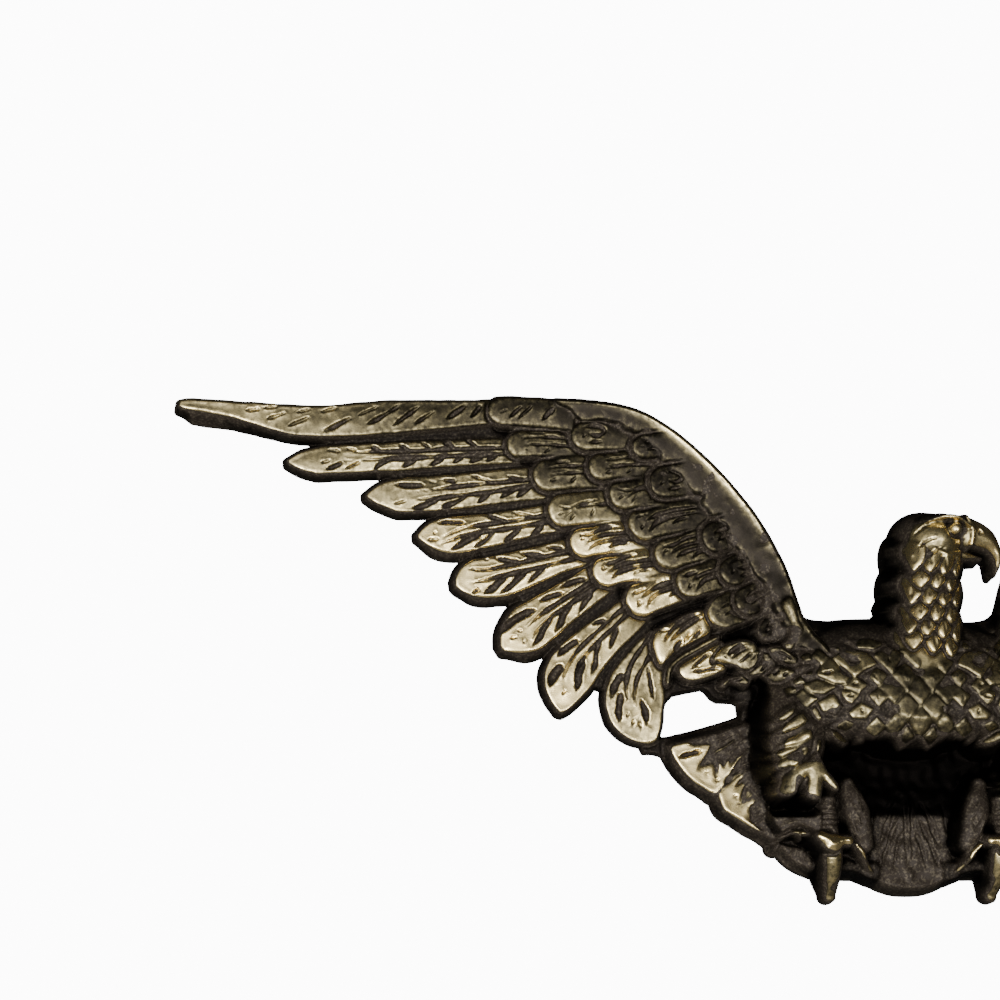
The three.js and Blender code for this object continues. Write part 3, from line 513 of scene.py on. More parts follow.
breast = {
    "level": [17, 12, 4, -6, -15, -23, -30, -36], "half": [30, 43, 52, 57, 57.6, 57, 38, 14],
    "height": [12, 19, 25.5, 29, 30.5, 30.5, 27, 16], "fullness": 0.24, "side": 4.0, "shade": 1.35,
    "rise": 1.25, "drop": 2.2, "grow": 1.2, "dim": 0.5,
    "scales": [     # brightness and corners
        (1.0, (-32.2, 1), (-28.5, 3.6), (-24.5, 4), (-20.5, 2.6), (-17.6, -1.2), (-21.4, -3), (-25.5, -5.8),
         (-29, -2.4)),
        (0.75, (-35.6, 0.6), (-33.4, 0), (-31.6, -3.4), (-28.8, -6.6), (-30, -8.8), (-34, -8.6), (-39.6, -5.4),
         (-37.6, -2)),
        (0.5, (-41, 2), (-38.5, 4.8), (-35.4, 1.6), (-38, -1)),
        (0.8, (-25.6, -6.6), (-21.3, -10), (-24.6, -12.6), (-29.9, -10.6)),
        (0.95, (-31, -12.4), (-28, -12), (-24.3, -13.4), (-27.4, -17.2), (-30.4, -16)),
        (0.6, (-45.2, -9.8), (-40.6, -8), (-33.8, -10.6), (-38.4, -13.2), (-43, -12.6)),
        (0.65, (-49, -14), (-46, -12), (-41.4, -15.5), (-45.8, -18.8), (-49, -16.8)),
        (0.9, (-40, -17), (-34.6, -13.9), (-31.8, -18.4), (-34, -21.3), (-38.4, -20.2)),
        (0.75, (-47, -22), (-41.6, -18.9), (-40.6, -21), (-39.6, -23.6), (-40.6, -25.2), (-43.6, -24.4)),
        (0.9, (-28.6, -21), (-24, -17.4), (-19.6, -19.6), (-22.4, -23.2), (-27, -23)),
        (0.6, (-20.5, -14), (-16.5, -11.4), (-13, -14.4), (-17, -18.4)),
        (0.55, (-20.6, -6), (-16.6, -3.6), (-12.4, -6.4), (-16.6, -10)),
        (0.45, (-21.6, -27.4), (-18, -23), (-14.4, -26.4), (-18, -31)),
        (0.4, (-33.2, -26.4), (-30, -24), (-26.4, -25.4), (-29, -28)),
        (0.5, (-35.2, -28.6), (-33.4, -27.8), (-27.6, -31.4), (-31, -32.2), (-34.6, -30.4)),
        (0.35, (-24.4, -30.4), (-21, -31.6), (-20.4, -34.2), (-24, -33.6)),
        (0.45, (-50, -7.4), (-46.6, -6), (-45.4, -8.4), (-48.4, -9.6)),
        (0.35, (-48.4, -3), (-45, -1.4), (-42.4, -2), (-46, -4.6)), (0.35, (-45.6, -5.6), (-41, -3.6), (-42.4, -6)),
        (0.4, (-54, -12), (-50.6, -10.4), (-48.4, -11.5), (-51.4, -14)),
        (0.3, (-56, -4.6), (-52, -2), (-50.2, -4.5), (-53.6, -6.6)),
        (0.3, (-54.6, -16), (-51.4, -15.4), (-50.4, -18.4), (-53.6, -18.6)),
        (0.3, (-45.6, 2.4), (-42.4, 3.6), (-41.8, 0.4), (-44.6, -0.4)), (0.35, (-33, 5.4), (-29.6, 6), (-30.6, 4.2)),
        (0.35, (-25, 8.6), (-18, 9), (-12.4, 7.2), (-17, 5), (-23, 5.6)),
        (0.6, (-16.6, 2), (-11, 5.4), (-5.8, 2.4), (-11, -4.6)), (0.6, (-5.4, 4), (0, 7), (5.4, 4), (0, -2.4)),
        (0.6, (-10.4, -6), (-5.4, -1.6), (-0.8, -5.6), (-5.2, -12)),
        (0.55, (-16, -11), (-11.4, -6.6), (-6.4, -11.6), (-11, -17)),
        (0.6, (-11, -18.6), (-5.8, -13.4), (-1, -18), (-6, -24)), (0.6, (-4.8, -12), (0, -7), (4.8, -12), (0, -17.4)),
        (0.6, (-4.6, -24), (0, -19), (4.6, -24), (0, -30)), (0.5, (-13.6, -26.4), (-10.2, -20.4), (-6.8, -25),
                                                             (-10.4, -31)), (0.4, (-9, -30.6), (-5.4, -26.6),
                                                                             (-2, -31), (-5.6, -35)),
    ],
    "nicks": [(1.0, (-27.4, 0), (-22.6, -0.2)), (1.3, (-38.2, -5), (-36, -5), (-33.6, -4.2)),
              (0.8, (-30, -14.4), (-26.6, -14)), (0.7, (-26.6, -9.6), (-24.6, -9.4)),
              (0.6, (-35.6, -18.6), (-34.4, -18.2)), (0.7, (-43.2, -21.6), (-42.4, -23.4)),
              (0.6, (-18, -5.4), (-17.6, -8)), (0.6, (-11.2, 1.6), (-11, -1.4)), (0.6, (-9.4, -18), (-9.4, -21)),
              (0.6, (-5, -5.6), (-5, -8.8)), (0.6, (-17.6, -13.4), (-17.2, -16)), (0.6, (-24, -19), (-23.4, -21.4))],
}
shoulderLeaves = [  # heights at the left and right ends, tone, outline and cuts
    {"height": (10.9, 10.2), "tone": 1.0,
     "outline": [(-100, -1.1), (-101.8, 0.9), (-103.1, 4.4), (-103.7, 7.8), (-103.2, 10.7), (-101.5, 13.4),
                 (-98.3, 15.4), (-93.9, 17.5), (-89.7, 19.7), (-84.4, 21.7), (-80.3, 21.7), (-78.6, 18.5),
                 (-79.9, 12.7), (-81.7, 10.9), (-85.8, 8.9), (-89.9, 6.8), (-94, 4.5), (-97.3, 1.5)],
     "cuts": [(1.4, (-99.3, 8), (-97.6, 11.1), (-94.4, 14.7), (-89.7, 17.9), (-84.3, 20.2)),
              (1.2, (-96.7, 8.4), (-93.8, 11.6), (-89.7, 15), (-85.6, 17.5), (-82.6, 19)),
              (1.4, (-95, 4.5), (-93.8, 6.9), (-91.8, 9.2)), (1.1, (-91.6, 7.7), (-88.9, 10.9), (-88, 12.4)),
              (1.2, (-87.3, 9.2), (-85.5, 11.8), (-83.3, 14)), (0.8, (-100.9, 12.6), (-97.1, 13.3))]},
    {"height": (10.8, 11.4), "tone": 0.85,
     "outline": [(-93.6, -3), (-93.1, -1), (-90.2, 1.3), (-86.1, 3.7), (-81.9, 6.2), (-78.4, 8.1), (-76.3, 9.3),
                 (-74, 7), (-72.9, 1.2), (-74.2, -3.2), (-76.6, -4.2), (-80.1, -5.7), (-84.2, -6.9), (-87.8, -7.6),
                 (-90.8, -6.9), (-93, -5)],
     "cuts": [(1.5, (-88.6, -2.8), (-86, -0.6), (-82.6, 2.4), (-79.4, 4.6)),
              (1.5, (-88.4, -3.4), (-84, -3.2), (-80, -2.4), (-76.6, -2.4)),
              (1.6, (-80.8, 1.8), (-80, 0), (-79.6, -1.6)), (1.3, (-79.4, 4.4), (-78, 1), (-77.4, -1.6)),
              (1.2, (-86, -2), (-84.8, -1.2))]},
    {"height": (8.6, 9.6), "tone": 0.1,
     "outline": [(-98, -8.6), (-97.8, -4), (-96.2, -0.2), (-92, 3.4), (-87, 6.2), (-81, 9.4), (-76.4, 11.4),
                 (-76.6, 9.8), (-80.6, 7.6), (-86.6, 4.2), (-91, 1.8), (-94.6, -1), (-96, -4), (-96.6, -8)],
     "cuts": []},
    {"height": (10.4, 12.5), "tone": 0.15,
     "outline": [(-76.3, -9.3), (-75.1, -7.3), (-72.1, -5.8), (-68.6, -4.6), (-66.2, -2.9), (-63, -5), (-64.8, -8.4),
                 (-66.3, -9.5), (-69.2, -8.6), (-72.2, -7.6), (-74.5, -9.9)],
     "cuts": [(0.9, (-73.6, -7.6), (-70, -7), (-67, -6.4))]},
    {"height": (15.4, 21.5), "tone": 0.15,
     "outline": [(-60, -4.8), (-57, -1.9), (-54.1, -1.6), (-50.7, -2.6), (-47.4, -4.7), (-50.8, -7.2), (-54.3, -8.4),
                 (-57.8, -7.3)],
     "cuts": [(1.0, (-56.5, -5.3), (-53.6, -3.1)), (0.8, (-53, -6), (-50.6, -4.4))]},
    {"height": (14.2, 18.4), "tone": 0.1,
     "outline": [(-64.4, 3.6), (-59.5, 6.3), (-56.2, 4.6), (-54, 0.8), (-57.5, -3), (-61.5, -5.4), (-65.6, -5.2),
                 (-66.2, -1.6)],
     "cuts": [(1.3, (-64.4, -3.6), (-62, -0.6), (-59.5, 2.5)), (1.1, (-61.5, -4.4), (-59.6, -2), (-57.9, -0.4)),
              (1.1, (-65.4, 0.4), (-62.9, 3.4)), (1.0, (-60.6, 5), (-58, 3.4)), (1.0, (-62.4, 1.6), (-60.6, 4)),
              (0.9, (-57.6, 2.4), (-55.4, 0.6))]},
    {"height": (12, 14.8), "tone": 0.32,
     "outline": [(-78.8, 1.4), (-77.3, 4.1), (-75, 6.3), (-71.5, 8.1), (-66.1, 9.2), (-62.3, 7.2), (-61.4, 2.3),
                 (-63.4, -1.4), (-66.4, -3.2), (-68.7, -2.7), (-71.6, -1.4), (-74.8, 0.1)],
     "cuts": [(1.3, (-73.8, 2.9), (-70.9, 5.5), (-67.1, 7.4)), (1.0, (-72.2, 1.6), (-68.6, 4.5), (-65, 6.3)),
              (1.1, (-69.3, -0.1), (-66.3, 2.2), (-63.3, 4.6)), (0.7, (-75.6, 2.6), (-73.8, 2))]},
    {"height": (17, 20), "tone": 0.08,
     "outline": [(-57.4, 5.4), (-53.6, 6.4), (-50.4, 4.2), (-46.6, 1.6), (-47.4, -1.2), (-51, -0.6), (-54.2, 0.8)],
     "cuts": [(1.0, (-55, 4.4), (-51.6, 3), (-48.4, 0.6)), (0.8, (-53.6, 2.2), (-50.4, 0.8))]},
]
shoulderTongue = {"height": (15.2, 18.6), "tone": 0.35,
                  "outline": [(-51.4, 24), (-47.8, 26), (-45.1, 17.1), (-43.4, 13.6), (-44.2, 10.1), (-46.5, 7.2),
                              (-48.9, 4.3), (-51.9, 3.6), (-55.7, 5.5), (-52.7, 6.5), (-50, 8.9), (-48.7, 12.4),
                              (-48.5, 15.9), (-50.3, 19.4)],
                  "cuts": []}
shoulder = {"reach": 44.0, "top": 12.8, "fall": 6.0, "height": 12.0, "band": 4.0, "fillet": 6.5, "filletAt": 42.6,
            "filletRun": 2.8, "tone": 0.12, "ink": 0.4}     # the fillet is a hollow corner that joins it to the wing

limbs = {  # path, with half width and height at even steps
    "thigh": {"path": [(-46.2, -8), (-47.4, -17), (-48.6, -26), (-49, -34), (-48.6, -43)],
              "half": [11, 12.2, 12.6, 12.2, 10.4], "height": [19, 25, 30, 31, 29], "tone": 0.3, "edge": 0.66,
              "ink": 0.62},
    "shank": {"path": [(-35, -46), (-35.3, -58.4), (-35.5, -67.5)], "half": [4, 4.4, 5.8], "height": [19, 20.5, 23],
              "tone": 0.25, "ink": 0.75},
    "innerLeg": {"path": [(-27, -48.6), (-25.1, -56.2), (-24.1, -61.8), (-22.3, -67.4), (-20.6, -72.4)],
                 "half": [3.6, 5.4, 6, 5.6, 4.2], "height": [19, 22, 23.5, 23, 21], "tone": 0.2, "edge": 0.7,
                 "ink": 1.0},
    "toeTip": {"path": [(-54.2, -69.9), (-51.5, -68.8), (-49, -67.7), (-44.3, -68.2), (-40.8, -68.5)],
               "half": [1.2, 1.4, 1.5, 1.5, 1.5], "height": [13, 15, 17, 19, 21], "tone": 0.35},
    "fang": {"path": [(-46.8, -68.5), (-45.9, -71)], "half": [1.1, 0.7], "height": [18.5, 15], "tone": 0.6},
    "claw": {"path": [(-34.4, -73), (-34, -80.2), (-33.6, -87), (-33.1, -92.8)], "half": [4.8, 4.6, 3.8, 2.8],
             "height": [23.4, 21.5, 17, 9], "tone": 0.45, "edge": 0.68},
    "innerClaw": {"path": [(-25.4, -72.4), (-22.9, -75.2), (-21.3, -78.3), (-18.8, -81.6), (-17, -83.4)],
                  "half": [1.8, 2.2, 2.2, 1.8, 1], "height": [22.5, 22, 20.5, 17, 14], "tone": 0.7},
}
limbShape = {"edge": 0.42, "side": 6.0}
legShapes = {
    "toe": [(-57.4, -60.1), (-54.3, -59.8), (-49.7, -60.1), (-45, -59.5), (-39.2, -60.1), (-38.8, -66.3),
            (-42.9, -66.3), (-46.3, -65.1), (-49.8, -65.7), (-52.1, -66.8), (-54.5, -67.7), (-55.6, -65.7),
            (-57.2, -63.5)],
    "skirt": [(-41.9, -37.5), (-44.2, -39.8), (-47.7, -41.5), (-51.1, -42.6), (-53.5, -44.3), (-55, -46.8),
              (-56.4, -49.3), (-57.2, -51.6), (-55.7, -53.1), (-53.7, -52.9), (-51.4, -52), (-50.5, -49.8),
              (-49.1, -47.6), (-47.2, -45.4), (-45.5, -45.3), (-45, -47.6), (-45.7, -50.3), (-46.3, -53.1),
              (-45.2, -54.5), (-43.2, -55), (-41.8, -53.7), (-41.2, -50.9), (-40.9, -48.7), (-40.4, -46.7),
              (-39.3, -46.7), (-37.6, -48.7), (-36, -50.6), (-34.5, -50.9), (-35.1, -48.9), (-37, -46.4),
              (-38.9, -44.2), (-40.5, -40.9), (-41.2, -38.7)],
    "knuckle": [(-41.5, -68), (-39.2, -67.7), (-35.8, -68.5), (-32.4, -69.1), (-28.3, -69.1), (-27, -70.7),
                (-28.2, -73), (-30.7, -72.4), (-33.7, -75.2), (-36, -75.4), (-38.2, -74.6), (-39.9, -71.9),
                (-42.1, -69.6)],
    "heel": [(-33, -76), (-27, -78), (-22, -80), (-14, -80), (-14, -86.6), (-18, -86), (-22, -83.6), (-26.4, -83),
             (-33, -83)],
}
legHeights = {"heel": 12.0, "toe": ((-58, 15), (-40, 21)), "knuckle": 23.4, "skirt": 29.8}      # the toe rises along x
leaves = [      # brightness and corners of the carved feathers on the thigh
    (0.3, (-58.7, -29.3), (-54.7, -26.2), (-50.4, -22.8), (-48, -21.3), (-46.3, -24.6), (-49.9, -27), (-55, -28.9)),
    (0.6, (-57, -34.4), (-53.4, -31.6), (-48.5, -29.6), (-45, -28.2), (-44.4, -31), (-47.4, -32.7), (-52.5, -33.9)),
    (0.5, (-53.4, -41.8), (-50.4, -38.2), (-46.5, -34.9), (-46, -36.4), (-48.1, -39.8), (-51.5, -42)),
    (0.3, (-59, -41.3), (-54.6, -38.9), (-50.2, -37), (-49, -37.4), (-50.8, -40.3), (-54.6, -42.6), (-58, -43.3)),
    (0.35, (-58.6, -24.4), (-54.6, -20.6), (-50.6, -18.6), (-51.6, -21.4), (-55.4, -24.2)),
    (0.35, (-59.4, -37.6), (-54.6, -35.4), (-49.6, -34.6), (-50.8, -36), (-56, -38.8)),
    (0.45, (-35.1, -28.7), (-32.8, -28.4), (-29.4, -30.3), (-26.3, -32.3), (-28.3, -32.9), (-32.3, -31.8),
     (-34.8, -30.1)),
]
thighGroove = (2.2, (-33.4, -24.6), (-38.7, -27.5), (-41.6, -29.7), (-43.2, -33.1), (-43.5, -35.9), (-46.5, -39.2),
               (-51.1, -42.6))
thighRim = (0.9, (-35.8, -27.7), (-39.4, -30.5), (-41, -33.1), (-41.5, -35.9), (-43.3, -38.7), (-46.5, -40.9))
pits = [        # floor and outline of the hollows under the thigh, between the toes and between the legs, painted dark as shade
    (5.5, [(-57, -54.6), (-50, -55), (-45, -56.4), (-42.4, -56), (-42.4, -58.6), (-46, -59), (-56, -59.6)]),
    (4.0, [(-52.5, -71.8), (-47.8, -71), (-43.1, -70.4), (-37.3, -69.6), (-35.1, -75.2), (-35.4, -85.4),
           (-37.6, -83.1), (-39.8, -77.5), (-43.2, -73.5), (-49, -72.7)]),
    (5.0, [(-60, -20), (-56, -22), (-56, -52), (-58, -58), (-58.6, -44), (-58.6, -32)]),
]
belly = {"floor": 5.0, "rise": 4.0, "from": 44.0, "to": 62.0, "top": -30.0, "reach": 34.0}
footCuts = [
    (1.1, (-39.6, -58.6), (-36, -58), (-32, -58.8)), (1.1, (-39.6, -60.6), (-36, -60), (-31.6, -60.8)),
    (1.1, (-39.8, -62.6), (-36, -62), (-31, -62.8)), (1.1, (-40, -64.8), (-36, -64.2), (-30.6, -65)),
    (0.8, (-37.6, -69.6), (-37.2, -73)), (0.7, (-31.6, -70), (-31.2, -72)),
    (1.2, (-39.4, -74.4), (-35.6, -76.4), (-31.6, -75.4)),
]
footRidges = [
    (0.7, (-29, -53), (-26.2, -58.6), (-23.4, -65)), (0.7, (-26.2, -51.6), (-23.6, -57.6), (-20.8, -64)),
    (0.7, (-29.4, -58), (-26.8, -63.6), (-24.4, -69.4)), (0.6, (-23.4, -52), (-21, -57), (-19, -62)),
    (0.6, (-27, -69.4), (-25.4, -72), (-24.6, -74)), (0.6, (-55, -62), (-50.4, -61.4), (-46, -62)),
    (0.6, (-53.6, -65), (-49.6, -63.6), (-44.4, -63.8)), (0.5, (-38.4, -52), (-38.6, -56)),
    (0.5, (-33, -50), (-32.4, -56)),
]

# Neck and head, which look along +X
neck = {
    "path": [(5, -2), (9, 18), (10.5, 34), (12, 47)], "half": [22, 14.5, 13.4, 12.8], "height": [29, 27.4, 25.4, 24],
    "tone": 0.75, "rows": 6, "first": 12.0, "step": 6.6, "across": [-0.72, -0.24, 0.24, 0.72], "scaleHalf": 4.2,
    "length": 13.0, "turn": -0.12, "rise": 1.3,
}
head = {
    "skull": [(13, 51), (15, 13), 26.5],                    # centre, half sizes and height
    "side": (0.93, 9.7),                                    # the share of it at which its side starts, and how high
    "beak": {"path": [(18, 53), (28, 53.6), (36, 50.4), (40, 44), (39.4, 36.8)], "half": [10, 8.4, 6.2, 3.6, 0.8],
             "height": [21, 21, 19, 16, 12], "tone": 0.8},
    "lowerBeak": {"path": [(18, 46.4), (26, 44.6), (33, 43.6)], "half": [3.6, 3, 1.4], "height": [19, 17, 14],
                  "tone": 0.6},
    "cere": {"path": [(25.4, 60), (27.4, 55), (27, 48.6)], "half": [2, 2.6, 2], "height": [21.5, 23, 21.5],
             "tone": 0.6},
    "brow": {"path": [(8, 57.4), (14, 59), (20, 58.6), (26.4, 55.8)], "half": [1.2, 1.8, 2.1, 1.3],
             "height": [25.4, 27, 27.2, 23.4], "tone": 0.85},
    "cheek": {"path": [(10, 46), (16, 43.6), (21, 45)], "half": [2.6, 3.6, 2.4], "height": [25.6, 25.4, 22.6],
              "tone": 0.6},
    "eye": [(19.4, 54.4), 2.7, 27.0], "socket": (1.2, 0.7),
    "cuts": [(1.3, (22, 48.6), (28, 47), (34, 45.8), (37.6, 44.4)), (1.4, (30, 55.4), (31.6, 53.6), (31.4, 52.4)),
             (1.3, (14, 54), (16.6, 57), (20, 57.4), (23.4, 55.8)), (1.2, (15.4, 52.6), (18.6, 50.8), (22.6, 51.8)),
             (1, (4, 57), (8, 60.6), (13, 62)), (1, (3, 52), (6.6, 55), (10, 56.4)),
             (1, (4, 46.6), (8, 49.4), (12, 50.4)), (1, (6, 42), (9.6, 44.4), (13.6, 47.6)),
             (1, (9, 61), (13.6, 62.6), (19, 61.6))],
}


def breastHeight(x, z):
    half = np.interp(z, breast["level"][::-1], breast["half"][::-1])
    top = np.interp(z, breast["level"][::-1], breast["height"][::-1])
    share = np.clip(1 - (x / half) ** 2, 0, 1)
    past = np.maximum(z - breast["level"][0], 0) + np.maximum(breast["level"][-1] - z, 0)
    return top * share ** breast["fullness"] - breast["side"] * (np.maximum(abs(x) - half, 0) + past)


def raiseTo(canvas, box, height, tone, ink=0.0):
    wins = height > canvas["relief"][box]
    canvas["relief"][box] = np.where(wins, height, canvas["relief"][box])
    canvas["ink"][box] = np.where(wins, ink, canvas["ink"][box])
    canvas["tone"][box] = np.where(wins, tone, canvas["tone"][box])


def layLimb(canvas, limb):
    path = smoothCurve(limb["path"], 8)
    box = window(canvas, path, max(limb["half"]) + 5)
    x, z = canvas["x"][box], canvas["z"][box]
    along, _, far = followPath(path, x, z)
    place = np.linspace(0, pathLength(path), len(limb["half"]))
    half = np.interp(along, place, limb["half"]) + 0.12 * canvas["wobble"][box]
    top = np.interp(along, place, limb["height"])
    share = np.clip(far / np.maximum(half, 0.1), 0, 1)
    edge = limb.get("edge", limbShape["edge"])
    height = top * (edge + (1 - edge) * np.sqrt(1 - share**2)) - limbShape["side"] * np.maximum(far - half, 0)
    # its sides are painted dark: painted shade on the walls
    raiseTo(canvas, box, height, limb["tone"], np.maximum(limb.get("ink", 0), ease(far - half, -0.5, 0.6)))


def carveSheet(canvas, cuts, depth=1.0):
    for cut in cuts:
        box = window(canvas, cut[1:], 4)
        height = canvas["relief"][box]
        carved, ink = height.copy(), canvas["ink"][box].copy()
        carve(carved, ink, canvas["x"][box], canvas["z"][box], [cut], canvas["wobble"][box], depth)
        canvas["relief"][box] = np.where(height > 1, np.maximum(carved, 0.6), height)
        canvas["ink"][box] = ink


def raiseRidges(canvas, ridges, lift=0.7, clean=0.95):
    for width, *points in ridges:
        box = window(canvas, points, 4)
        curve = smoothCurve(points, 6)
        run, _, off = followPath(curve, canvas["x"][box], canvas["z"][box])
        share = np.clip(run / pathLength(curve), 0, 1)
        half = width * (0.25 + 0.75 * np.clip(4 * np.minimum(share, 1 - share), 0, 1))
        bump = np.clip(1 - (off / half) ** 2, 0, 1)
        canvas["relief"][box] += lift * bump * (canvas["relief"][box] > 1)
        canvas["ink"][box] *= 1 - clean * bump


def sink(canvas, floor, outline):
    box = window(canvas, outline, 6)
    inside = edgeDistance(np.array(outline, float), canvas["x"][box], canvas["z"][box])
    height = canvas["relief"][box]
    bed = floor + 5 * np.maximum(-inside, 0)
    deeper = (bed < height) & (inside > -4) & (height > 1)
    canvas["relief"][box] = np.where(deeper, bed, height)
    # the sunk floor is painted dark: painted shade
    canvas["ink"][box] = np.where(deeper, 1.0, canvas["ink"][box])


def layTail(canvas):
    for one in tail["feathers"]:
        layShape(canvas, one["outline"], tail["height"], drop=tail["drop"], moat=one.get("moat", 1.2), moatWidth=1.4,
                 tone=one["tone"], roll=0.5, rim=0.15)
    outline = np.array(tail["bright"])
    box = window(canvas, [(-100, -93), (0, -15)], 0)
    x, z = canvas["x"][box], canvas["z"][box]
    inside = edgeDistance(outline, x, z) + 0.1 * canvas["wobble"][box]
    deep = outside(inside)
    canvas["tone"][box] *= 1 - tail["dim"] * deep
    canvas["relief"][box] -= tail["sunk"] * deep * ease(-x, 30, 45) * (canvas["relief"][box] > 3)
    canvas["ink"][box] = np.maximum(canvas["ink"][box], tail["shade"] * deep)
    carveSheet(canvas, tail["cuts"] + tail["middleCuts"])
    raiseRidges(canvas, tail["ridges"])


# Small feathers with straight sides, lying on a surface like shingles: each stands off it at its lower end.
def layPatches(canvas, patches, surface, rise, drop, grow=1.0, dim=1.0):
    for bright, *corners in patches:
        outline = np.array(corners, float)
        centre = outline.mean(0)
        outline = centre + grow * (outline - centre)
        size = 0.5 * np.ptp(outline, axis=0).max()
        tilt, lean = 0.3 * np.sin(7 * centre[0] + 3 * centre[1]), 0.35      # no two lie at quite the same angle

        def height(x, z, inside):
            slant = (tilt * (x - centre[0]) - lean * (z - centre[1])) / size
            return surface(x, z) + rise + slant + 0.3 * np.minimum(inside, 1.2)

        layShape(canvas, outline, height, closed=False, drop=drop, tone=dim * bright, edge=0.9, roll=0.35)


def scaleOutline(x, z, width, length, turn=0.0):
    shape = np.array([(0, 0.5), (0.36, 0.47), (0.5, 0.2), (0.42, -0.16), (0.2, -0.4), (0, -0.52), (-0.2, -0.4),
                      (-0.42, -0.16), (-0.5, 0.2), (-0.36, 0.47)]) * (width, length)
    spin = np.array([[math.cos(turn), math.sin(turn)], [-math.sin(turn), math.cos(turn)]])
    return shape @ spin + (x, z)


def layScale(canvas, x, z, width, length, turn, surface, rise, tone):
    def height(gx, gz, inside):
        down = ((z - gz) * math.cos(turn) + (gx - x) * math.sin(turn)) / length     # grows towards the scale's tip
        return surface(gx, gz) + rise * (0.75 + 0.5 * down) + 0.25 * np.minimum(inside, 1.5)
    layShape(canvas, scaleOutline(x, z, width, length, turn), height, drop=2.6, moat=1.3, moatWidth=1.5, tone=tone,
             edge=1.0, roll=0.4)
    carveSheet(canvas, [(0.8, (x, z + 0.1 * length), (x, z - 0.3 * length))], 0.7)


def layBreast(canvas):
    box = window(canvas, [(-66, -44), (0, 22)], 2)
    raiseTo(canvas, box, breastHeight(canvas["x"][box], canvas["z"][box]), 0.15, breast["shade"])
    layPatches(canvas, breast["scales"], breastHeight, breast["rise"], breast["drop"], breast["grow"], breast["dim"])
    carveSheet(canvas, breast["nicks"])


def layShoulder(canvas):
    s = shoulder
    box = window(canvas, [(-60, 0), (0, 26)], 2)
    x, z = canvas["x"][box], canvas["z"][box]
    top = s["top"] + s["fillet"] * np.exp(-np.maximum(x + s["filletAt"], 0) / s["filletRun"])
    height = s["height"] - (s["height"] / s["fall"]) * np.maximum(z - top, 0)
    height -= 5 * np.maximum(s["top"] - s["band"] - z, 0) + 4 * np.maximum(-x - s["reach"], 0)
    raiseTo(canvas, box, height, s["tone"], s["ink"])


def layLeaf(canvas, leaf, **finish):
    left, right = (pick(point[0] for point in leaf["outline"]) for pick in (min, max))

    def height(x, z, inside):
        return np.interp(x, [left, right], leaf["height"]) + 0.25 * np.minimum(inside, 2.5)

    layShape(canvas, leaf["outline"], height, drop=3.4, tone=leaf["tone"], edge=1.1, **finish)
    carveSheet(canvas, leaf["cuts"])


def thighHeight(x, z):
    return 30.4 - 0.045 * np.maximum(abs(x + 48) - 3, 0) ** 1.9 - 0.02 * np.maximum(z + 26, 0) ** 2


def toeHeight(x, z, inside):
    (left, low), (right, high) = legHeights["toe"]
    return np.interp(x, [left, right], [low, high]) + crown(inside, 1.6, 3.5)


def knuckleHeight(x, z, inside):
    return legHeights["knuckle"] + crown(inside, 3.4, 3.6)


def skirtHeight(x, z, inside):                              # it falls off towards the thigh's outer side
    return legHeights["skirt"] + crown(inside, 1.6, 3) - 0.07 * np.maximum(-48 - x, 0) ** 2


def layBelly(canvas):                                       # the hollow in which the tail comes out from under the body, painted black as the shade there
    under = ease(-canvas["z"], belly["from"], belly["to"])
    bed = belly["floor"] + belly["rise"] * under
    beneath = ((canvas["relief"] < 10) & (canvas["x"] > -belly["reach"]) & (canvas["z"] < belly["top"])
               & (canvas["z"] > -belly["to"]))
    canvas["relief"] = np.where(beneath & (canvas["relief"] > bed), bed, canvas["relief"])
    # painted shade: black beneath the body
    canvas["ink"] = np.where(beneath, 2.0, canvas["ink"])


print("sculpting one half")
half = makeCanvas(-sheet["reach"], 0.0)
half["wobble"] = unevenness(half["x"].shape, 1.5, sheet["seed"])
for height, outline in plates:
    layShape(half, outline, height, False, drop=4, roll=0, tone=0.0, ink=plateInk)
layTail(half)
for feather in flightFeathers[::-1]:                        # from the body outwards, as each lies on the next
    layFlightFeather(half, feather)
print("sculpting the coverts")
for row in ("lowest", "middle", "upper"):
    if row == "middle":
        for leaf in shoulderLeaves[:3]:
            layLeaf(half, leaf, moat=1.5, moatWidth=1.9)
    if row == "upper":
        layCovert(half, "first", *coverts["first"][0])
        layLeadingEdge(half)
    for feather in coverts[row]:
        layCovert(half, row, *feather)
print("sculpting the body")
layShoulder(half)
layLeaf(half, shoulderTongue)
for name in ("shank", "innerLeg"):
    layLimb(half, limbs[name])
# the heel is painted black: painted shade beside the claw
layShape(half, legShapes["heel"], legHeights["heel"], drop=4, tone=0.1, ink=1.6)
layShape(half, legShapes["toe"], toeHeight, drop=5, tone=0.2, ink=0.75)
for floor, outline in pits:
    sink(half, floor, outline)
for name in ("toeTip", "fang", "claw", "innerClaw"):
    layLimb(half, limbs[name])
layShape(half, legShapes["knuckle"], knuckleHeight, drop=5, tone=0.95, grow=0.5)
carveSheet(half, footCuts, 0.8)
raiseRidges(half, footRidges, 0.6)
layBelly(half)
layLimb(half, limbs["thigh"])
layBreast(half)
for leaf in shoulderLeaves[3:]:
    layLeaf(half, leaf, moat=1.2, moatWidth=1.5)
layPatches(half, leaves, thighHeight, 1.0, 2.4, 1.06)
carveSheet(half, [thighGroove], 0.8)
raiseRidges(half, [thighRim], 1.0, 1.0)
layShape(half, legShapes["skirt"], skirtHeight, drop=5, tone=0.52, edge=0.8, roll=0.5, grow=0.9)
# the skirt's outer lower side is darker
half["tone"] -= 0.3 * ease(-half["x"], 48, 53) * (half["relief"] > 25) * (half["z"] < -42)

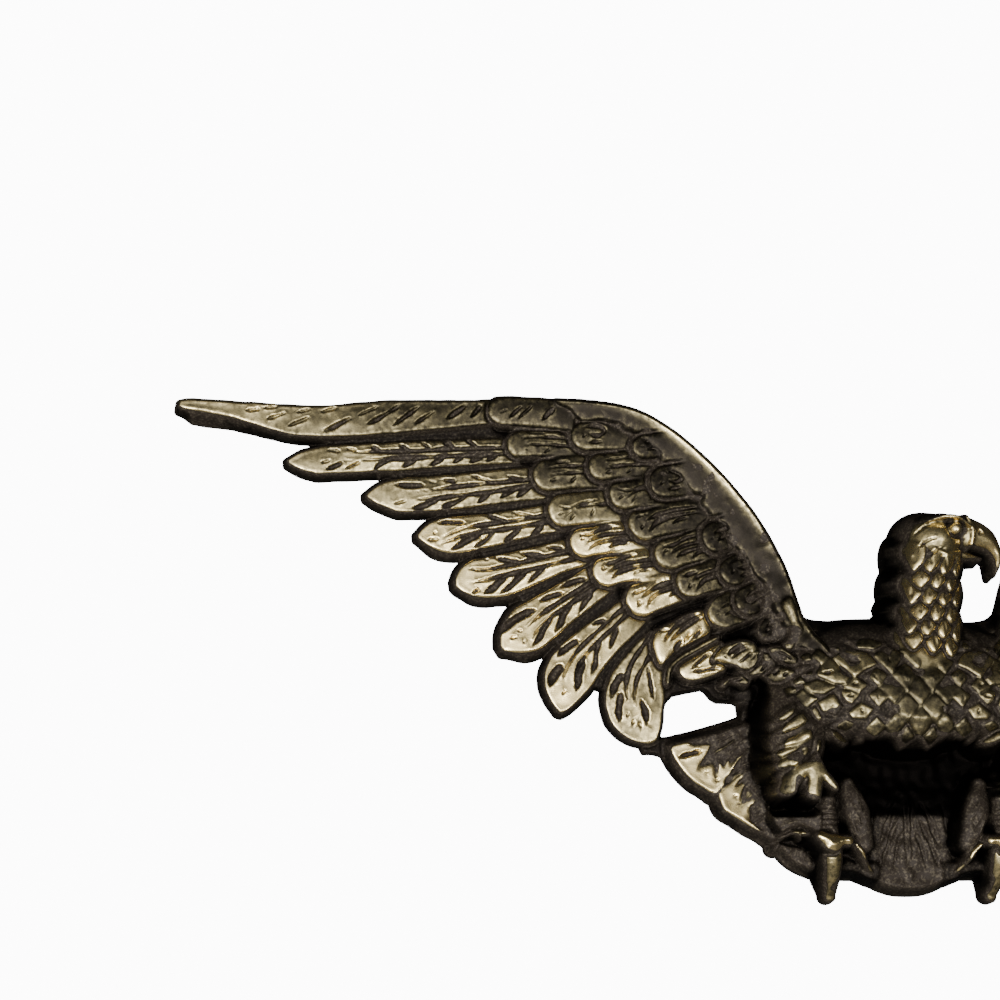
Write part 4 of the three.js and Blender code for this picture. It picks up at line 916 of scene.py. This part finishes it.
# Roughness of the casting, where nothing rubs it smooth: the body, and the wing's leading edge
skin = {
    "amount": 0.42, "size": 0.8, "seed": 31,                # height and breadth of the bumps
    "onFaces": 0.35, "downTo": -40.0,                       # share of the height on the faces, and how low they have it
    "to": 70.0, "from": 84.0,                               # where it fades out on the way to the wingtip
    "pitted": (0.8, 1.5), "pitInk": 0.9, "pitTone": 0.7,    # the deepest dips are dark, but not on bright faces
}


def roughen(canvas):
    peaks = unevenness(canvas["x"].shape, skin["size"], skin["seed"])
    inward = 1 - ease(-canvas["x"], skin["to"], skin["from"])
    where = np.clip(canvas["ink"], 0, 1) * inward * ease(canvas["relief"], 2, 5)
    faces = skin["onFaces"] * (1 - where) * inward * (canvas["relief"] > 5) * (canvas["z"] > skin["downTo"])
    canvas["relief"] += skin["amount"] * peaks * (where + faces)
    dull = np.clip(inward + ease(canvas["relief"], 11.5, 13) * (canvas["z"] > 20), 0, 1)
    pits = skin["pitInk"] * ease(-peaks, *skin["pitted"]) * dull
    pits = pits * (canvas["relief"] > 5) * (canvas["tone"] < skin["pitTone"])
    canvas["ink"] = np.maximum(canvas["ink"], pits)


print("roughening the casting's skin")
roughen(half)

whole = makeCanvas(-sheet["reach"], sheet["reach"])
for name in ("relief", "tone", "ink", "wobble"):
    whole[name] = np.hstack([half[name], half[name][:, -2::-1]])

print("sculpting the head")


def neckHeight(x, z):
    path = smoothCurve(neck["path"], 8)
    along, _, far = followPath(path, x, z)
    place = np.linspace(0, pathLength(path), len(neck["half"]))
    share = np.clip(far / np.interp(along, place, neck["half"]), 0, 0.96)
    edge = limbShape["edge"]
    return np.interp(along, place, neck["height"]) * (edge + (1 - edge) * np.sqrt(1 - share**2))


layLimb(whole, neck)
neckPath = smoothCurve(neck["path"], 8)
for row in range(neck["rows"]):
    at = neck["first"] + row * neck["step"]
    wide = np.interp(at, np.linspace(0, pathLength(neckPath), len(neck["half"])), neck["half"])
    shares = neck["across"] if row % 2 else [(a + b) / 2 for a, b in zip(neck["across"], neck["across"][1:])]
    for share in shares:
        (x, z), = offPath(neckPath, np.array([at]), np.array([share * wide]))
        layScale(whole, x, z, 2 * neck["scaleHalf"], neck["length"], neck["turn"], neckHeight, neck["rise"],
                 neck["tone"])

(cx, cz), (rx, rz), top = head["skull"]
side, sideHeight = head["side"]
box = window(whole, [(cx - rx, cz - rz), (cx + rx, cz + rz)], 6)
x, z = whole["x"][box], whole["z"][box]
out = np.sqrt(((x - cx) / rx) ** 2 + ((z - cz) / rz) ** 2)
dome = top * np.sqrt(np.clip(1 - out**2, 0, 1))
raiseTo(whole, box, np.where(out < side, dome, sideHeight - 5 * (out - side) * rz), 0.6)
for name in ("beak", "lowerBeak", "cheek", "cere", "brow"):
    layLimb(whole, head[name])
carveSheet(whole, head["cuts"])
(cx, cz), size, top = head["eye"]
box = window(whole, [(cx - size, cz - size), (cx + size, cz + size)], 3)
x, z = whole["x"][box], whole["z"][box]
far = np.hypot(x - cx, z - cz)
depth, width = head["socket"]
whole["relief"][box] -= depth * np.exp(-(((far - size - width) / width) ** 2))
raiseTo(whole, box, top - size + np.sqrt(np.clip(size**2 - far**2, 0, None)) - 6 * np.maximum(far - size, 0), 0.8)

sandMarks = {"seed": 20, "layers": [(0.16, 4.0), (0.06, 1.1)]}       # height and breadth of the casting's unevenness
for index, (amount, size) in enumerate(sandMarks["layers"]):
    marks = unevenness(whole["x"].shape, size, sandMarks["seed"] + index)
    whole["relief"] += amount * marks * ease(whole["relief"], 0.5, 3)

# Wear and painted shade, as the brass reads them off the piece: how hollow, how much of an edge and how far rubbed
# each point is. The hollow map also carries painted shade, black on the steep walls, in the pits and under the body.
wearAndShade = {
    "hollows": [(1.0, 1.5, 1), (2.5, 0.55, 2), (7.0, 0.1, 6)],      # breadth, how much it counts, and the most depth
    "hollowShare": 0.8, "soft": 0.4, "steep": (1.3, 2.8),
    "deep": (0.3, 1, 2),                                    # what the deepest hollows of middle breadth add
    # hands have rubbed the top edge, down to this far below it, but not on the neck
    "bare": 0.8, "bareBelow": (4, 2), "bareFrom": (38, 44),
    "edgeGain": 3.0, "edgeSoft": 0.75, "toneSoft": 0.8,
}
print("reading hollows and edges off the relief")
relief = whole["relief"]
solid = np.maximum(relief, 0)
below = [blur(solid, size) - solid for size, _, _ in wearAndShade["hollows"]]
steep = np.hypot(*np.gradient(blur(solid, 0.5), sheet["pitch"]))
hollow = np.clip(sum(gain * np.clip(depth, 0, most) for depth, (_, gain, most) in zip(below, wearAndShade["hollows"])), 0, 1)
dark = blur(np.clip(np.maximum(wearAndShade["hollowShare"] * hollow, whole["ink"]), 0, 2), wearAndShade["soft"])
# painted shade on the steep walls, over the patina they have
wallShade = blur(ease(steep, *wearAndShade["steep"]), wearAndShade["soft"])
topEdge = np.where(solid > 3, whole["z"], sheet["low"]).max(0)
bare = wearAndShade["bare"] * ease(whole["z"], *(topEdge - off for off in wearAndShade["bareBelow"]))
bare *= ease(abs(whole["x"]), *wearAndShade["bareFrom"])
maps = {
    "hollow": (dark + wallShade + wearAndShade["deep"][0] * ease(below[1], *wearAndShade["deep"][1:])) * (1 - bare),
    "edge": np.clip(wearAndShade["edgeGain"] * (solid - blur(solid, wearAndShade["edgeSoft"])), 0, 1) * ease(1 - steep, -1.2, 0.2),
    "tone": np.clip(blur(whole["tone"], wearAndShade["toneSoft"]), 0, 1),
}


def sample(values, x, z):
    column = np.clip((x - whole["corner"][0]) / sheet["pitch"], 0, values.shape[1] - 1.001)
    row = np.clip((z - whole["corner"][1]) / sheet["pitch"], 0, values.shape[0] - 1.001)
    c, r = column.astype(int), row.astype(int)
    u, v = column - c, row - r
    return ((values[r, c] * (1 - u) + values[r, c + 1] * u) * (1 - v)
            + (values[r + 1, c] * (1 - u) + values[r + 1, c + 1] * u) * v)


print("building the piece")
casting = {"triangles": 190000, "millimetre": 0.001, "keepAbove": -3.5, "merge": 2e-6}
rows, columns = relief.shape
bm = bmesh.new()                # a grid with a point for each of the sheet's
bmesh.ops.create_grid(bm, x_segments=columns - 1, y_segments=rows - 1, size=0.5)
mesh = bpy.data.meshes.new("cast_brass_eagle")
bm.to_mesh(mesh)
bm.free()
points = np.zeros(len(mesh.vertices) * 3, np.float32)
mesh.vertices.foreach_get("co", points)
points = points.reshape(-1, 3)
column = np.rint((points[:, 0] + 0.5) * (columns - 1)).astype(int)
row = np.rint((points[:, 1] + 0.5) * (rows - 1)).astype(int)
heights = relief[row, column]
points = np.column_stack([whole["x"][row, column], -heights, whole["z"][row, column]]) * casting["millimetre"]
mesh.vertices.foreach_set("co", points.astype(np.float32).ravel())
mesh.update()
bm = bmesh.new()                # cut off at the wall, and closed with a flat back
bm.from_mesh(mesh)
bm.verts.ensure_lookup_table()
off = [vertex for vertex, height in zip(bm.verts, heights) if height < casting["keepAbove"]]
bmesh.ops.delete(bm, geom=off, context="VERTS")
bmesh.ops.bisect_plane(bm, geom=bm.verts[:] + bm.edges[:] + bm.faces[:], dist=1e-7, plane_co=(0, 0, 0),
                       plane_no=(0, 1, 0), clear_outer=True)
print(len(bm.verts), "points in front")
bmesh.ops.triangle_fill(bm, use_beauty=True, edges=[edge for edge in bm.edges if edge.is_boundary], normal=(0, 1, 0))
bmesh.ops.remove_doubles(bm, verts=bm.verts, dist=casting["merge"])
bmesh.ops.recalc_face_normals(bm, faces=bm.faces)
bmesh.ops.triangulate(bm, faces=bm.faces)
print(sum(edge.is_boundary for edge in bm.edges), "open edges", len(bm.faces), "faces")
bm.to_mesh(mesh)
full = len(bm.faces)
bm.free()
eagle = bpy.data.objects.new("cast_brass_eagle", mesh)
bpy.context.collection.objects.link(eagle)
decimate = eagle.modifiers.new("fewer faces", "DECIMATE")
decimate.ratio = min(1.0, casting["triangles"] / full)
bpy.context.view_layer.update()
slim = bpy.data.meshes.new_from_object(eagle.evaluated_get(bpy.context.evaluated_depsgraph_get()))
eagle.modifiers.clear()
eagle.data = slim
slim.name = "cast_brass_eagle"
bpy.data.meshes.remove(mesh)
bm = bmesh.new()
bm.from_mesh(slim)
known, folded = {}, set()       # two faces on the same corners are a fold that the thinning left
for face in bm.faces:
    other = known.setdefault(frozenset(face.verts), face)
    if other is not face:
        folded |= {face, other}
bmesh.ops.delete(bm, geom=list(folded), context="FACES")
print(len(folded), "folded faces out", sum(not edge.is_manifold for edge in bm.edges), "open edges", len(bm.faces),
      "faces")
bm.to_mesh(slim)
bm.free()

print("writing the wear onto the piece")
points = np.zeros(len(slim.vertices) * 3, np.float32)
slim.vertices.foreach_get("co", points)
points = points.reshape(-1, 3) / casting["millimetre"]
behind = ease(points[:, 1], -0.3, -0.05)
rear = {"hollow": 1.6, "edge": 0.0, "tone": 0.2}            # the back is as it came from the mould
for name, values in maps.items():
    layer = slim.attributes.new(name, "FLOAT", "POINT")
    seen = sample(values, points[:, 0], points[:, 2])
    layer.data.foreach_set("value", (seen + (rear[name] - seen) * behind).astype(np.float32))
slim.shade_smooth()


# Finish
def linear(hexColour):
    values = [int(hexColour[k:k + 2], 16) / 255 for k in (1, 3, 5)]
    return (*(v / 12.92 if v <= 0.04045 else ((v + 0.055) / 1.055) ** 2.4 for v in values), 1.0)


def addNode(tree, kind, settings=None, **inputs):
    node = tree.nodes.new(kind)
    for name, value in (settings or {}).items():
        setattr(node, name, value)
    for name, value in inputs.items():
        socket = node.inputs[int(name[1:]) if name[1:].isdigit() else name.replace("_", " ")]
        if isinstance(value, bpy.types.NodeSocket):
            tree.links.new(value, socket)
        else:
            socket.default_value = value
    return node.outputs[0] if node.outputs else node


brass = {
    "worn": "#f2da9c",          # rubbed bare on the feathers
    "dulled": "#c8ba8c",        # rubbed less
    "tarnished": "#2b2722",     # olive brown where hands and cloths don't reach
    "patina": "#312a23",        # brown black in the cuts and between the feathers, where it is also painted shadow round their edges
    "grainGlints": "#5a5245",        # lighter grains standing out of the patina: the sand mould's grain, and painted glints on it
    "patinaAndShadeBlack": "#0b0908",          # black: painted shade on the walls, in the pits, under the body and on the deep ground, and the unrubbed back
    "patches": 14.0,            # mm across the cloudy changes of tone
    "speckle": 1.7,             # mm across the smaller ones
    "cloudy": [0.7, 0.4],       # how much each of the two changes the tone
    "grain": 1.0,               # mm between the grains
    "grainAt": [0.5, 0.68],     # between these the noise turns into a grain
    "cutAt": [0.42, 0.6],       # between these the patina takes over, so that its edge is sharp and ragged
    "ragged": 0.4,              # how far the speckle moves that edge
    "rubbed": [0.3, 0.25],      # what an edge gains in tone on a bright face, and on any
    "contrast": 1.9,            # the power that keeps the little rubbed places dark
    "sand": 0.55,               # mm, the grain that the sand mould leaves, drawn a little coarse so that it shows
    "sandDepth": 0.0001,        # m
    "sandStrength": [0.5, 1.0],             # on bare metal and in the patina
    "roughness": [0.5, 0.27, 0.6],          # tarnished, worn and in the patina
    "metalInPatina": [0.25, 0.6],           # metallic there, between the grains and on them
    "specular": 0.22,           # low, as the patina is dull
}


def antiqueBrass():             # brass, sand cast, darkened with patina and rubbed back on the high places, with painted shade and glints
    material = bpy.data.materials.new("antique_brass_sand_cast")
    material.use_nodes = True
    tree = material.node_tree
    tree.nodes.clear()
    place = addNode(tree, "ShaderNodeTexCoord").node.outputs["Object"]
    hollow, edge, tone = (addNode(tree, "ShaderNodeAttribute", {"attribute_name": name}).node.outputs["Fac"]
                          for name in ("hollow", "edge", "tone"))

    def noise(size, detail=3.0):
        return addNode(tree, "ShaderNodeTexNoise", Vector=place, Scale=1000 / size, Detail=detail)

    def calculate(kind, a, b, c=0.0, clamp=False):
        return addNode(tree, "ShaderNodeMath", {"operation": kind, "use_clamp": clamp}, i0=a, i1=b, i2=c)

    def mix(share, a, b, kind="RGBA"):
        node = addNode(tree, "ShaderNodeMix", {"data_type": kind}).node
        first = {"RGBA": 6, "FLOAT": 2}[kind]
        for socket, value in zip((node.inputs[0], node.inputs[first], node.inputs[first + 1]), (share, a, b)):
            if isinstance(value, bpy.types.NodeSocket):
                tree.links.new(value, socket)
            else:
                socket.default_value = value
        return node.outputs[{"RGBA": 2, "FLOAT": 0}[kind]]

    patches = calculate("ADD", noise(brass["patches"]), -0.5)
    speckle = calculate("ADD", noise(brass["speckle"]), -0.5)
    low, high = brass["cutAt"]
    dark = calculate("MULTIPLY_ADD", speckle, brass["ragged"], hollow)
    dark = calculate("MULTIPLY_ADD", dark, 1 / (high - low), -low / (high - low), clamp=True)
    # past 1 the hollow map paints the brass black: painted shade, and the black back
    patinaAndShadeBlackness = calculate("ADD", hollow, -1.0, clamp=True)
    broad, small = brass["cloudy"]
    mottle = calculate("MULTIPLY_ADD", speckle, small, calculate("MULTIPLY", patches, broad))
    mottle = calculate("MULTIPLY", mottle, calculate("ADD", tone, 0.3, clamp=True))
    rubbed = calculate("MULTIPLY", edge, calculate("MULTIPLY_ADD", speckle, 3.0, 0.6, clamp=True))      # here and there
    rubbed = calculate("MULTIPLY", rubbed, calculate("MULTIPLY_ADD", tone, *brass["rubbed"]))
    worn = calculate("ADD", calculate("ADD", tone, rubbed), mottle, clamp=True)
    worn = calculate("POWER", calculate("MULTIPLY", worn, calculate("SUBTRACT", 1.0, dark)), brass["contrast"])
    colour = mix(worn, linear(brass["tarnished"]), linear(brass["dulled"]))
    colour = mix(calculate("MULTIPLY", worn, worn), colour, linear(brass["worn"]))
    few, many = brass["grainAt"]
    # painted glints: the grains are made lighter and more metallic, as if they caught the light
    grainGlints = calculate("MULTIPLY_ADD", noise(brass["grain"], 2.0), 1 / (many - few), -few / (many - few), clamp=True)
    colour = mix(dark, colour, mix(grainGlints, linear(brass["patina"]), linear(brass["grainGlints"])))
    colour = mix(patinaAndShadeBlackness, colour, linear(brass["patinaAndShadeBlack"]))
    dull, bright, deep = brass["roughness"]
    roughness = mix(dark, mix(worn, dull, bright, "FLOAT"), deep, "FLOAT")
    patinaMetal = mix(grainGlints, *brass["metalInPatina"], "FLOAT")
    # there the metal reflects nothing, so the painted shade stays black
    metallic = mix(patinaAndShadeBlackness, mix(calculate("POWER", dark, 3.0), 1.0, patinaMetal, "FLOAT"), 1.0, "FLOAT")
    bump = addNode(tree, "ShaderNodeBump", Strength=mix(dark, *brass["sandStrength"], "FLOAT"),
                   Distance=brass["sandDepth"], Height=noise(brass["sand"]))
    shader = addNode(tree, "ShaderNodeBsdfPrincipled", Base_Color=colour, Metallic=metallic, Roughness=roughness,
                     Normal=bump, Specular_IOR_Level=brass["specular"])
    addNode(tree, "ShaderNodeOutputMaterial", Surface=shader)
    return material


print("making the brass")
slim.materials.append(antiqueBrass())
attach(eagle, "root")
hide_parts("cast_eagle")

# Light, floor and camera
studio = {
    "floor": "#e9e6df", "floorLevel": -1.2, "floorSize": 3.0, "floorRoughness": 0.8,
    "bright": (-0.35, -0.75, -0.56),    # where the light of the room comes from
    "darkest": 0.03, "brightest": 5.4, "falloff": 4.0,      # away from there, right there, and how fast it fades
    "backdrop": 12.0,                                       # as the camera sees it, pure white
    "lamps": [((-0.62, -1.0, -0.42), 0.26, 11.0), ((0.2, -1.3, -0.5), 0.25, 6.0)],      # place, size in m and watts
    # what the camera looks at, which way, from how far in m and through which lens in mm
    "target": (-0.1658, -0.009, 0.066), "look": (0.0858, 0.9811, 0.1736), "distance": 0.8, "lens": 70.56,
}


def lightRoom():
    world = bpy.data.worlds.new("studio")
    bpy.context.scene.world = world
    world.use_nodes = True
    tree = world.node_tree
    tree.nodes.clear()
    way = addNode(tree, "ShaderNodeTexCoord").node.outputs["Generated"]
    bright = Vector(studio["bright"]).normalized()
    facing = addNode(tree, "ShaderNodeVectorMath", {"operation": "DOT_PRODUCT"}, i0=way,
                     i1=bright).node.outputs["Value"]
    ahead = addNode(tree, "ShaderNodeMath", {"operation": "MAXIMUM"}, i0=facing, i1=0.0)
    curve = addNode(tree, "ShaderNodeMath", {"operation": "POWER"}, i0=ahead, i1=studio["falloff"])
    level = addNode(tree, "ShaderNodeMath", {"operation": "MULTIPLY_ADD"}, i0=curve, i1=studio["brightest"],
                    i2=studio["darkest"])
    seen = addNode(tree, "ShaderNodeLightPath").node.outputs["Is Camera Ray"]
    strength = addNode(tree, "ShaderNodeMix", {"data_type": "FLOAT"}, i0=seen, i2=level, i3=studio["backdrop"])
    back = addNode(tree, "ShaderNodeBackground", Color=(1, 1, 1, 1), Strength=strength)
    addNode(tree, "ShaderNodeOutputWorld", Surface=back)
    for number, (place, size, watts) in enumerate(studio["lamps"]):
        lamp = bpy.data.lights.new(f"softbox {number}", "AREA")
        lamp.size, lamp.energy = size, watts
        holder = bpy.data.objects.new(lamp.name, lamp)
        holder.location = place
        holder.rotation_euler = (Vector(studio["target"]) - Vector(place)).to_track_quat("-Z", "Y").to_euler()
        bpy.context.collection.objects.link(holder)


def layFloor():
    bm = bmesh.new()
    bmesh.ops.create_grid(bm, x_segments=1, y_segments=1, size=studio["floorSize"])
    bmesh.ops.translate(bm, verts=bm.verts, vec=(0, 0, studio["floorLevel"]))
    mesh = bpy.data.meshes.new("floor")
    bm.to_mesh(mesh)
    bm.free()
    paint = bpy.data.materials.new("matt_white_paint")
    paint.use_nodes = True
    shader = paint.node_tree.nodes["Principled BSDF"]
    shader.inputs["Base Color"].default_value = linear(studio["floor"])
    shader.inputs["Roughness"].default_value = studio["floorRoughness"]
    mesh.materials.append(paint)
    floor = bpy.data.objects.new("floor", mesh)
    bpy.context.collection.objects.link(floor)


def placeCamera():
    camera = bpy.data.objects.new("camera", bpy.data.cameras.new("camera"))
    look = Vector(studio["look"])
    camera.location = Vector(studio["target"]) - studio["distance"] * look
    camera.rotation_euler = look.to_track_quat("-Z", "Y").to_euler()
    camera.data.lens = studio["lens"]
    bpy.context.collection.objects.link(camera)
    bpy.context.scene.camera = camera


print("lighting and placing the camera")
lightRoom()
layFloor()
placeCamera()
